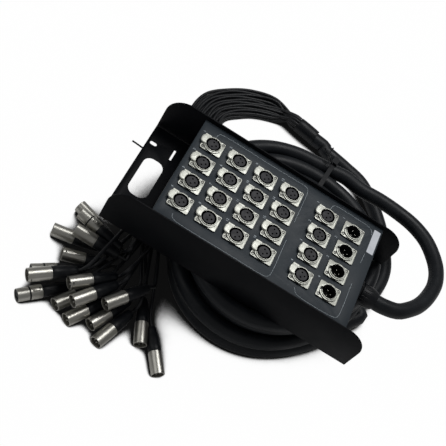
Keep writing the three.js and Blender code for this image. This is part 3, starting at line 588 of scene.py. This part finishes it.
def combine(piece, other, operation):
    makeActive(piece)
    join = piece.modifiers.new("join", "BOOLEAN")
    join.operation = operation
    join.solver = "EXACT"
    join.object = other
    bpy.ops.object.modifier_apply(modifier=join.name)
    bpy.data.objects.remove(other)


def cut(piece, *cutters):
    for cutter in cutters:
        combine(piece, cutter, "DIFFERENCE")


def fuse(piece, *others):
    for other in others:
        combine(piece, other, "UNION")


def joinPieces(name, pieces):
    bpy.ops.object.select_all(action="DESELECT")
    for piece in pieces:
        piece.select_set(True)
    bpy.context.view_layer.objects.active = pieces[0]
    if len(pieces) > 1:
        bpy.ops.object.join()
    pieces[0].name = name
    return pieces[0]


def soften(piece, width):
    makeActive(piece)
    bevel = piece.modifiers.new("edges", "BEVEL")
    bevel.width = width * mm
    bevel.segments = 2
    bevel.limit_method = "ANGLE"
    bevel.angle_limit = radians(35)
    bpy.ops.object.modifier_apply(modifier=bevel.name)
    smooth(piece)


def smooth(piece):
    makeActive(piece)
    bpy.ops.object.shade_smooth_by_angle(angle=radians(40))


# A profile is radius and height from point to point, spun round the upright axis
def spinProfile(name, profile, steps=48):
    bpy.ops.object.select_all(action="DESELECT")
    start = Vector((profile[0][0], 0, profile[0][1])) * mm
    bpy.ops.mesh.primitive_plane_add(size=mm, location=start)
    piece = takeNew(name)
    bpy.ops.object.mode_set(mode="EDIT")
    bpy.ops.mesh.select_mode(type="VERT")
    bpy.ops.mesh.select_all(action="SELECT")
    bpy.ops.mesh.merge(type="CENTER")
    for (r0, z0), (r1, z1) in zip(profile, profile[1:]):
        move = Vector((r1 - r0, 0, z1 - z0)) * mm
        bpy.ops.mesh.extrude_vertices_move(TRANSFORM_OT_translate={"value": move})
    bpy.ops.mesh.select_all(action="SELECT")
    bpy.ops.mesh.spin(steps=steps, angle=2 * pi, center=(0, 0, 0), axis=(0, 0, 1))
    bpy.ops.mesh.select_all(action="SELECT")
    bpy.ops.mesh.remove_doubles(threshold=0.00001)
    bpy.ops.mesh.select_all(action="SELECT")
    bpy.ops.mesh.normals_make_consistent(inside=False)
    bpy.ops.object.mode_set(mode="OBJECT")
    smooth(piece)
    return piece


# A cord that is made a mesh, for what is joined afterwards
def makeMeshCord(name, points, diameter, material, sides):
    makeActive(makeCord(name, points, diameter, material, sides))
    bpy.ops.object.convert(target="MESH")
    return bpy.context.object


def discard(*pieces):
    for piece in pieces:
        bpy.data.objects.remove(piece)


def moved(piece, turn):
    piece.data.transform(turn)
    piece.data.update()
    return piece


def copyOf(piece, name, turn):
    twin = piece.copy()
    twin.data = piece.data.copy()
    twin.name = twin.data.name = name
    scene.collection.objects.link(twin)
    return moved(twin, turn)


def shift(x, y, z):
    return Matrix.Translation(Vector((x, y, z)) * mm)


def finishPiece(piece, material, body="box", replaced=()):
    piece.data.materials.clear()
    piece.data.materials.append(materials[material])
    piece.data.name = piece.name
    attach(piece, body)
    if replaced:
        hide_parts(*replaced)
    return piece


# Gives the faces that a test picks by their middle and normal a second finish, which the sockets use for
# painted shade
def paintFaces(piece, material, test):
    piece.data.materials.append(materials[material])
    for face in piece.data.polygons:
        if test(face.center / mm, face.normal):
            face.material_index = len(piece.data.materials) - 1


# A face that stands within about 17 degrees of upright; the sockets' painted shade goes on these
def isWall(middle, way):
    return abs(way.z) < 0.3


# Sheet metal: cheeks and tray. An opening in the handle plate has a length, width, corner radius and x.
openings = {
    "handSlot": (30, 70, 12, -166.0), "strapHole": (10.5, 6, 2.7, -182.3), "lacingSlot": (3, 20, 0, -150.6),
    "holeY": 58.4, "edge": 0.45,
}
socketField = {
    "rows": (54.6, 18.2, -18.2, -54.6), "inputs": (-111.4, -69.3, -27.2, 14.9),
    "returns": 72.6, "sends": 114.9,
}


def makeCheek(name, side):
    low = side * box["width"] / 2 - (box["cheek"] if side > 0 else 0)
    cheek = startBox(name, (-endX, low, -topZ), (endX, low + box["cheek"], topZ))
    roundEdges(cheek, box["cheekCorner"], 14, lambda a, b: abs(a.y - b.y) > 1 and a.z > 0 and b.z > 0)
    soften(cheek, openings["edge"])
    node = "cheek_front" if side < 0 else "cheek_rear"
    return finishPiece(cheek, "powderBlack", replaced=[node])


def makeTray():
    half = innerWidth / 2
    sheet = box["sheet"]
    floor = -topZ + sheet
    tray = startBox("tray", (-endX, -half, -topZ), (cableWallX, half, floor))
    makeActive(tray)
    bpy.ops.object.mode_set(mode="EDIT")
    for x in (handleWallX, handleWallX + sheet, cableWallX - sheet):
        bpy.ops.mesh.select_all(action="SELECT")
        bpy.ops.mesh.bisect(plane_co=(x * mm, 0, 0), plane_no=(1, 0, 0))
    bpy.ops.object.mode_set(mode="OBJECT")
    walls = (handleWallX + sheet / 2, cableWallX - sheet / 2)

    def isWallFoot(face):
        middle = face.calc_center_median() / mm
        return face.normal.z > 0.9 and min(abs(middle.x - wall) for wall in walls) < sheet / 2

    pickParts(tray, "FACE", isWallFoot)
    rise = Vector((0, 0, panelTop - sheet - box["gap"] - floor)) * mm
    bpy.ops.mesh.extrude_region_move(TRANSFORM_OT_translate={"value": rise})
    bpy.ops.object.mode_set(mode="OBJECT")
    for key, y in (("handSlot", 0), ("strapHole", openings["holeY"]), ("lacingSlot", openings["holeY"])):
        length, width, corner, x = openings[key]
        low = (x - length / 2, y - width / 2, -topZ - 5)
        hole = startBox("hole", low, (x + length / 2, y + width / 2, floor + 5))
        if corner:
            roundEdges(hole, corner, 8, isUpright)
        cut(tray, hole)
    bore = startRod("bore", gland["thread"] + 0.3, 0, 0, -8, 8)
    cut(tray, moved(bore, shift(cableWallX, 0, gland["z"]) @ Matrix.Rotation(pi / 2, 4, "Y")))
    soften(tray, openings["edge"])
    return finishPiece(tray, "powderBlack", replaced=["chassis"])


# Panel sockets, modelled at the origin and copied to their places. Height zero is the panel's face. A step
# and a collar are a radius and a top. A tab is its foot's left, right, low and high side, its head the same
# and an underside, and the neck is set in from the foot's sides.
socket = {
    "flange": (31, 26, 2.2), "corner": 2, "step": (13.0, 4.0), "collar": (11.3, 5.3), "bore": 10.6,
    "insert": (8.3, 4.8), "groove": 9, "body": 19, "contacts": [(-0.7, 4.0), (-0.7, -4.0), (4.1, 0)],
    "contact": 1.3, "screws": [(-12.2, -9.4), (12.4, 9.9)], "screw": 2.1, "well": (9.6, 8.6), "pin": 0.95,
    "key": (-12.6, 2.5), "tab": (-16.0, -7.4, 4.9, 13.5), "tabTop": 5.7, "tabFoot": -9, "tabGap": 0.3,
    "tabHead": (-18.9, -8.8, -5.2, 9.4, 4.1), "tabTravel": 2.0, "neckInset": (0.5, 0.4, 0.4, 5),
    "edge": 0.22,
}
inputPlaces = [(x, y) for y in socketField["rows"] for x in socketField["inputs"]]
returnPlaces = [(socketField["returns"], y) for y in socketField["rows"]]
sendPlaces = [(socketField["sends"], y) for y in socketField["rows"]]
grooveFloor = socket["flange"][2] - socket["groove"]


def tabPocket(outline, foot, top):
    left, right, low, high = outline
    gap = socket["tabGap"]
    return startBox("pocket", (left - gap, low - gap, foot), (right + gap, high + gap, top))


# The flange with its step, collar and screw seats, bored right through
def startShell(name, bore, depth):
    length, width, height = socket["flange"]
    shell = startBox(name, (-length / 2, -width / 2, 0), (length / 2, width / 2, height))
    roundEdges(shell, socket["corner"], 5, isUpright)
    for key, foot in (("step", 0.5), ("collar", -depth)):
        radius, top = socket[key]
        fuse(shell, startRod(key, radius, 0, 0, foot, top, 64))
    cut(shell, startRod("bore", bore, 0, 0, -depth - 1, 9, 64))
    for x, y in socket["screws"]:
        cut(shell, startRod("seat", socket["screw"] + 0.35, x, y, height - 0.5, 9, 24))
    return shell


def makeScrew():
    top = socket["flange"][2]
    radius = socket["screw"]
    screw = spinProfile("screw", [(0, top + 0.25), (radius * 0.55, top + 0.2), (radius * 0.9, top - 0.05),
                                  (radius, top - 0.3), (radius, top - 0.8), (0, top - 0.8)], 20)
    for turned in (0.3, 0.3 + pi / 2):
        slot = startBox("slot", (-radius * 0.6, -0.3, top - 0.35), (radius * 0.6, 0.3, top + 1))
        cut(screw, moved(slot, Matrix.Rotation(turned, 4, "Z")))
    return screw


# The push tab: a rounded head over the flange's short edge, on a neck and a foot through the panel
def makeTab():
    left, right, low, high = socket["tab"]
    flush = socket["flange"][2] + 0.05
    foot = startBox("foot", (left, low, socket["tabFoot"]), (right, high, flush))
    inLeft, inRight, inLow, inHigh = socket["neckInset"]
    fuse(foot, startBox("neck", (left + inLeft, low + inLow, flush - 1.5),
                        (right - inRight, high - inHigh, socket["tabHead"][4] + 0.5)))
    cut(foot, startRod("keep", socket["collar"][0] + 2 * socket["tabGap"], 0, 0, -30, 30, 64))
    left, right, low, high, under = socket["tabHead"]
    tab = startBox("tab", (left, low, under), (right, high, socket["tabTop"]))
    for y, width in ((high, 5.6), (low, 5.0)):
        roundEdges(tab, width, 8, lambda a, b: isUpright(a, b) and abs(a.x - left) + abs(a.y - y) < 0.01)
    roundEdges(tab, 1.1, 4, lambda a, b: min(a.z, b.z) > socket["tabTop"] - 0.01)
    fuse(tab, foot)
    cut(tab, startRod("keep", socket["bore"] + 0.4, 0, 0, -30, 30, 64))
    smooth(tab)
    return tab


def makePanelSheet():
    sheet = startBox("panelSheet", (handleWallX, -innerWidth / 2, panelTop - box["sheet"]),
                     (cableWallX, innerWidth / 2, panelTop))
    hole = startRod("hole", socket["collar"][0] + 0.2, 0, 0, -5, 5)
    pocket = tabPocket(socket["tab"], socket["tabFoot"] - 6, 5)
    fuse(pocket, copyOf(hole, "ring", Matrix()))
    holes = [copyOf(pocket, "hole", shift(x, y, panelTop)) for x, y in inputPlaces + returnPlaces]
    holes += [copyOf(hole, "hole", shift(x, y, panelTop)) for x, y in sendPlaces]
    discard(pocket, hole)
    cut(sheet, joinPieces("holes", holes))
    soften(sheet, 0.25)
    finishPiece(sheet, "panelGrey", replaced=["connector_panel"])


# The shell of a socket with a tab, and room for the tab's head and foot in it
def makeTabShell():
    shell = startShell("shell", socket["bore"], -grooveFloor + 1)
    cut(shell, tabPocket(socket["tabHead"][:4], socket["tabHead"][4] - socket["tabTravel"], 9))
    sleeve = tabPocket(socket["tab"], socket["tabFoot"] - 6, 5)
    cut(sleeve, startRod("keep", socket["collar"][0] + socket["tabGap"], 0, 0, -30, 30))
    cut(shell, sleeve)
    soften(shell, socket["edge"])
    return shell


# The insert with its contact holes, the groove round it and the bore's lining, in one; the lining is
# painted shade over the bore's wall
def makeInsert():
    ring, top = socket["insert"]
    bore = socket["bore"]
    insert = spinProfile("insert", [
        (0, top), (ring - 0.5, top), (ring, top - 0.5), (ring, grooveFloor), (bore - 0.15, grooveFloor),
        (bore - 0.15, top - 0.3), (bore, top - 0.3), (bore + 0.2, top - 0.5), (bore + 0.2, grooveFloor - 2),
        (0, grooveFloor - 2)])
    for x, y in socket["contacts"]:
        cut(insert, startRod("contact", socket["contact"], x, y, top - 5, 9, 20))
    smooth(insert)
    return insert


def makeTabSockets():
    shell, insert, tab = makeTabShell(), makeInsert(), makeTab()
    insertFace = panelTop + socket["insert"][1] - 0.6
    for group, places in (("input", inputPlaces), ("return", returnPlaces)):
        for number, (x, y) in enumerate(places, 1):
            label, node = f"{group}{number}", f"{group}_tab_{number}"
            place = shift(x, y, panelTop)
            piece = finishPiece(copyOf(shell, label + "Shell", place), "socketSilver",
                                replaced=["connector_panel"])
            # The shell's upright walls get painted shade
            paintFaces(piece, "socketPaintedShade", isWall)
            core = finishPiece(copyOf(insert, label + "Insert", place), "insertGrey",
                               replaced=["connector_panel"])
            # Faces below the insert's face are black: the insert's own side, and painted shade in the
            # groove, contact holes and bore lining
            paintFaces(core, "insertBlackAndShade", lambda middle, way: middle.z < insertFace)
            finishPiece(copyOf(tab, label + "Tab", place), "tabSilver", node, [node])
    discard(shell, insert, tab)


# The well of a send socket, with a thin floor in its keyway. Their black is the insert's own at the floor
# and painted shade on the well's wall and in the keyway.
def makeWell():
    radius, depth = socket["well"]
    rim = socket["collar"][1] - 0.3
    keyEnd, keyHalf = socket["key"]
    well = spinProfile("well", [
        (radius, rim), (radius + 0.65, rim), (radius + 0.65, -depth - 2), (0, -depth - 2), (0, -depth),
        (radius, -depth), (radius, rim)])
    cut(well, startBox("key", (keyEnd, -keyHalf, 2.9), (-radius + 1, keyHalf, 9)))
    lining = startBox("lining", (keyEnd + 0.1, -keyHalf + 0.1, 2.62), (-radius - 0.4, keyHalf - 0.1, 2.85))
    return joinPieces("well", [well, lining])


def makePins():
    radius, foot = socket["pin"], -socket["well"][1] - 1
    pins = []
    for x, y in socket["contacts"]:
        pin = spinProfile("pin", [(0, 1.2), (radius * 0.6, 1.0), (radius, 0.4), (radius, foot),
                                  (0, foot)], 16)
        pins.append(moved(pin, shift(x, y, 0)))
    return joinPieces("pins", pins)


def makeSendSockets():
    radius, depth = socket["well"]
    keyEnd, keyHalf = socket["key"]
    shell = startShell("shell", radius + 0.7, depth + 2)
    cut(shell, startBox("key", (keyEnd, -keyHalf, 2.6), (-radius + 1, keyHalf, 9)))
    soften(shell, socket["edge"])
    well, pins = makeWell(), makePins()
    for number, (x, y) in enumerate(sendPlaces, 1):
        place = shift(x, y, panelTop)
        label, node = f"send{number}", [f"send_socket_{number}"]
        piece = copyOf(shell, label + "Shell", place)
        finishPiece(piece, "socketSilver", replaced=node)
        # The shell's upright walls get painted shade
        paintFaces(piece, "socketPaintedShade", isWall)
        # The well's black is partly painted shade
        finishPiece(copyOf(well, label + "Well", place), "insertBlackAndShade", replaced=node)
        finishPiece(copyOf(pins, label + "Pins", place), "pinSilver", replaced=node)
    discard(shell, well, pins)


# What all sockets have: a round body behind the panel, and two flange screws
def makeSocketBodies():
    top, foot = grooveFloor - 2.2, -socket["body"]
    body = spinProfile("body", [(0, top), (11.6, top), (11.6, foot + 1), (10.6, foot), (0, foot)], 32)
    allPlaces = inputPlaces + returnPlaces + sendPlaces
    bodies = [copyOf(body, "body", shift(x, y, panelTop)) for x, y in allPlaces]
    node = ["connector_panel"]
    finishPiece(joinPieces("socketBodies", bodies), "insertBlackAndShade", replaced=node)
    screw = makeScrew()
    screws = [copyOf(screw, "screw", shift(x + dx, y + dy, panelTop)) for x, y in allPlaces
              for dx, dy in socket["screws"]]
    discard(body, screw)
    smooth(joinPieces("socketScrews", screws))
    finishPiece(screws[0], "screwSteel", replaced=node)


# Cable gland on the end wall, along +X
gland = {
    "z": -3, "thread": 13, "inside": 9, "hex": 17, "hexLength": 9, "locknut": (17.5, -7, -1.8),
    "nut": 15.6, "nutLength": 24, "mouth": 12.4, "flutes": 18, "flute": 0.9, "fluteOut": 0.35,
    "fluteEnds": (1.5, 12.5),
}


def makeGland():
    lay = shift(cableWallX, 0, gland["z"]) @ Matrix.Rotation(pi / 2, 4, "Y")
    long = gland["hexLength"]
    hexBody = spinProfile("hex", [(0, 0.3), (gland["hex"], 0.3), (gland["hex"], long), (0, long)], 6)
    soften(hexBody, 0.6)
    thread = spinProfile("thread", [(0, -gland["inside"]), (gland["thread"], -gland["inside"]),
                                    (gland["thread"], 1), (0, 1)], 40)
    radius, low, high = gland["locknut"]
    locknut = spinProfile("locknut", [(0, low), (radius, low), (radius, high), (0, high)], 6)
    soften(locknut, 0.5)
    fuse(hexBody, thread, locknut)
    hexBody.name = "glandBody"
    finishPiece(moved(hexBody, lay), "mouldedBlack", replaced=["gland_body"])
    start = long + 0.6
    end = start + gland["nutLength"]
    radius, mouth = gland["nut"], gland["mouth"]
    nut = spinProfile("glandNut", [
        (mouth, start), (radius - 0.5, start), (radius, start + 0.6), (radius, start + 13),
        (radius - 0.8, start + 17), (radius - 1.8, end - 2), (radius - 2.6, end), (mouth, end),
        (mouth - 0.5, end - 1), (mouth, start)], 72)
    low, high = (start + reach for reach in gland["fluteEnds"])
    for index in range(gland["flutes"]):
        flute = startRod("flute", gland["flute"], radius + gland["fluteOut"], 0, low, high, 12)
        cut(nut, moved(flute, Matrix.Rotation(2 * pi * index / gland["flutes"], 4, "Z")))
    smooth(nut)
    finishPiece(moved(nut, lay), "mouldedBlack", replaced=["gland_nut"])


# Breakout boot, where the trunk ends and the tails begin
def makeBreakout():
    lay = Matrix.Translation(Vector((bootStart.x, bootStart.y, bootAxisZ)) * mm)
    lay = lay @ Vector((0, 0, 1)).rotation_difference(bootWay).to_matrix().to_4x4()
    end = breakout["length"]
    profile = [(11.7, 0.3), (12.0, 0.3), (12.3, 1.2), (12.7, 8), (12.9, 16), (12.9, end - 8),
               (12.6, end - 1.2), (12.2, end), (11.7, end - 0.6), (11.7, 0.3)]
    boot = spinProfile("breakoutBoot", profile, 56)
    return finishPiece(moved(boot, lay), "mouldedBlack", replaced=["breakout_boot"])


# Thin ties: the knot of the coil's tie with its two ends, and the loose end from under the handle plate
ties = {
    "tieKnot": {"thick": 1.9, "routes": [
        [(57, 199, -29.6), (53, 206, -27.4), (49.5, 211, -27.0), (44, 214, -24.5), (38.5, 215, -20)],
        [(62, 203, -29.8), (56, 207, -27.6), (51.5, 212, -26.4), (50, 218, -24), (51, 224, -20.5)],
        [(52.5, 208.5, -29.4), (50, 211, -26.4), (52.5, 213.5, -25.6), (56.5, 211, -27),
         (54.5, 207.5, -29.4)],
    ]},
    "handleTie": {"thick": 2.6, "routes": [
        [(-180, 57, -38.6), (-182.5, 54.5, -41.2), (-187, 49, -42.4), (-192, 45.6, -40.6),
         (-197, 44.2, -38.6), (-203, 43.6, -37.2), (-209, 43.4, -36.6)],
    ]},
}


def makeTies():
    for name, tie in ties.items():
        strands = []
        for route in tie["routes"]:
            line = smoothLine([Vector(point) for point in route], 1.5)
            strands.append(makeMeshCord(name, line, tie["thick"], materials["mouldedBlack"], 3))
        finishPiece(joinPieces(name, strands), "mouldedBlack")


# Cable plugs, modelled with the mouth at zero and the cable end up, then laid down. A male shell's window
# is turned to where the photo shows it, and to hiddenTurn on the others.
plugLook = {
    "radius": 9.5, "inner": 8.1, "wellDepth": 12, "bootRadius": 9.1, "bootMiddle": 8.6, "bootTip": 5.8,
    "pins": [(3.8, -0.6), (-3.8, -0.6), (0, -4.4)], "pin": 1.2, "contact": 1.5, "ring": (15.8, 18.0),
    "latch": (21, 30, 5), "latchGap": 0.3, "window": ((-12, -1.9, 3.2), (-6, 1.9, 4.9)),
    "windowTurns": {4: 0, 6: 76, 8: 31, 10: 84, 11: -6}, "hiddenTurn": 190,
}


# The outline of the soft boot, from inside the shell's end to the cable
def plugBoot(kind):
    wide, middle, tip = plugLook["bootRadius"], plugLook["bootMiddle"], plugLook["bootTip"]
    start = plugSizes[kind + "Shell"]
    end = start + plugSizes[kind + "Boot"]
    return [(plugLook["inner"], start + 0.2), (wide - 0.3, start + 0.3), (wide, start + 0.9),
            (wide, start + 9), (wide - 0.35, start + 10), (middle, start + 20), (middle - 0.5, start + 21),
            (tip + 1.1, end - 6), (tip + 0.4, end - 1.2), (tip - 0.4, end), (2.4, end)]


# The shell with its three pins, and the well's floor with the boot
def makeMalePlug():
    outer, inner, long = plugLook["radius"], plugLook["inner"], plugSizes["maleShell"]
    shell = spinProfile("shell", [
        (inner + 0.3, 0), (outer - 0.3, 0), (outer, 0.35), (outer, long - 1.6), (outer - 0.35, long - 1.2),
        (outer - 0.35, long), (inner, long), (inner, 0.3), (inner + 0.3, 0)], 64)
    depth, radius = plugLook["wellDepth"], plugLook["pin"]
    for x, y in plugLook["pins"]:
        pin = spinProfile("pin", [(0, 2.4), (radius * 0.6, 2.6), (radius, 3.4), (radius, depth + 1),
                                  (0, depth + 1)], 14)
        shell = joinPieces("shell", [shell, moved(pin, shift(-y, x, 0))])
    core = spinProfile("core", [(0, depth), (inner, depth), *plugBoot("male")], 48)
    return shell, core


# The room for a latch, cut into the shell and the insert
def latchSlot():
    outer, gap = plugLook["radius"], plugLook["latchGap"]
    first, last, wide = plugLook["latch"]
    return startBox("slot", (-outer - 4, -wide / 2 - gap, first - gap),
                    (-outer + 3.9, wide / 2 + gap, last + gap))


# The shell, the insert with the boot and the dark band, and the latch
def makeFemalePlug():
    outer, inner, long = plugLook["radius"], plugLook["inner"], plugSizes["femaleShell"]
    low, high = plugLook["ring"]
    shell = spinProfile("shell", [
        (inner, 0.3), (inner + 0.3, 0), (outer - 0.7, 0), (outer - 0.4, 0.35), (outer - 0.4, low),
        (outer - 0.8, low + 0.1), (outer - 0.8, high - 0.1), (outer, high), (outer, long - 1),
        (outer - 0.4, long), (inner, long), (inner, 0.3)], 64)
    cut(shell, latchSlot())
    smooth(shell)
    core = spinProfile("core", [(0, 0.8), (inner - 0.5, 0.8), (inner - 0.1, 1.2), *plugBoot("female")], 48)
    for x, y in plugLook["pins"]:
        cut(core, startRod("contact", plugLook["contact"], -y, x, -1, 6, 18))
    cut(core, latchSlot())
    smooth(core)
    band = spinProfile("band", [
        (outer - 0.9, low + 0.2), (outer - 0.1, low + 0.2), (outer - 0.1, high - 0.2),
        (outer - 0.9, high - 0.2), (outer - 0.9, low + 0.2)], 48)
    core = joinPieces("core", [core, band])
    first, last, wide = plugLook["latch"]
    latch = startBox("latch", (-outer - 1.1, -wide / 2, first), (-outer + 2.6, wide / 2, last))
    roundEdges(latch, 1.0, 3, lambda a, b: max(a.x, b.x) < -outer - 1 and min(a.z, b.z) > last - 0.1)
    soften(latch, 0.25)
    return shell, core, latch


def makePlugs():
    males = makeMalePlug()
    females = makeFemalePlug()
    counts = {"male": 0, "female": 0}
    for plug in plugs:
        kind = plug["kind"]
        counts[kind] += 1
        number = counts[kind]
        node = f"{kind}_plug_{number}"
        lay = Matrix.Translation(plug["tip"] * mm) @ Matrix.Rotation(plug["turn"], 4, "Z")
        lay = lay @ Matrix.Rotation(pi / 2, 4, "Y")
        label = f"{kind}Plug{number}"
        models = males if kind == "male" else females
        shell = copyOf(models[0], label + "Shell", lay)
        if kind == "male":
            roll = radians(plugLook["windowTurns"].get(plug["index"], plugLook["hiddenTurn"]))
            window = startBox("window", *plugLook["window"])
            roundEdges(window, 0.5, 3, lambda a, b: abs(a.x - b.x) > 1)
            cut(shell, moved(window, lay @ Matrix.Rotation(roll, 4, "Z")))
            smooth(shell)
        finishPiece(shell, "shellNickel", replaced=[node])
        core = copyOf(models[1], label + "Boot", lay)
        finishPiece(core, "mouldedBlack", replaced=[node])
        plug["pieces"] = [shell, core]
        if kind == "female":
            latchNode = f"female_plug_latch_{number}"
            latch = copyOf(models[2], label + "Latch", lay)
            plug["pieces"].append(finishPiece(latch, "shellNickel", latchNode, [latchNode]))
    discard(*males, *females)


# Marks printed on the panel: plain frame lines and numbers, no words
prints = {
    "frames": [
        [(35.2, 18.3), (34.0, 76.5), (32.6, 80.6), (29, 82.6), (8.5, 82.6), (-30.1, 82.4), (-104, 82),
         (-110, 80.4), (-112.5, 75), (-112.5, 72.0)],
        [(-112.2, -75.1), (-110.6, -80.4), (-106.2, -83), (-99.8, -83.9), (-22.0, -84.2), (27, -84),
         (32, -82.6), (34.8, -79), (35.8, -75.3), (35.6, -15.2)],
        [(73.8, 72.1), (74.2, 77), (76.5, 80.8), (81, 82.3), (113.9, 82.4), (129.9, 81.8),
         (136.8, 79.9), (140.3, 76), (141.4, 70)],
        [(142.1, 36), (141.1, 18.6)],
        [(140.6, -19.8), (139.9, -74.0), (137.9, -80.0), (133.1, -82.4), (83.3, -83.2), (75.5, -80.7),
         (71.4, -74.2)],
    ],
    "line": 0.5, "lineSink": 0.12, "digit": 5.2, "digitRise": 0.04, "digitPlace": (-19, 16.5),
    "label": ((142.8, 40.4), (152.9, 82.6)), "labelSink": 0.02, "labelRise": 0.12, "labelCorner": 0.8,
}


def makePrints():
    lines = []
    for route in prints["frames"]:
        line = smoothLine([Vector((x, y, panelTop - prints["lineSink"])) for x, y in route], 1.5)
        lines.append(makeMeshCord("frameLine", line, prints["line"], materials["printInk"], 1))
    finishPiece(joinPieces("frameLines", lines), "printInk")
    digits = []
    dx, dy = prints["digitPlace"]
    columns = (*socketField["inputs"], socketField["returns"], socketField["sends"])
    for column, x in enumerate(columns):
        for row, y in enumerate(socketField["rows"]):
            number = column * 4 + row + 1 if column < 4 else row + 1
            bpy.ops.object.select_all(action="DESELECT")
            bpy.ops.object.text_add()
            text = bpy.context.object
            text.data.body = str(number)
            text.data.size = prints["digit"] * mm
            text.data.extrude = prints["digitRise"] * mm
            text.data.align_x = "CENTER"
            text.data.align_y = "CENTER"
            bpy.ops.object.convert(target="MESH")
            place = shift(x + dx, y + dy, panelTop) @ Matrix.Rotation(pi / 2, 4, "Z")
            digits.append(moved(bpy.context.object, place))
    finishPiece(joinPieces("socketNumbers", digits), "printInk")
    (x0, y0), (x1, y1) = prints["label"]
    label = startBox("bareLabel", (x0, y0, panelTop - prints["labelSink"]),
                     (x1, y1, panelTop + prints["labelRise"]))
    roundEdges(label, prints["labelCorner"], 3, isUpright)
    finishPiece(label, "labelPaper")


makeCheek("frontCheek", -1)
makeCheek("rearCheek", 1)
makeTray()
print("box made")
makePanelSheet()
makeTabSockets()
makeSendSockets()
makeSocketBodies()
print("sockets made")
makeGland()
makeBreakout()
makeTies()
makePlugs()
print("plugs made")
makePrints()
print("marks printed")

finishPiece(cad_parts["coil_tie"], "mouldedBlack")
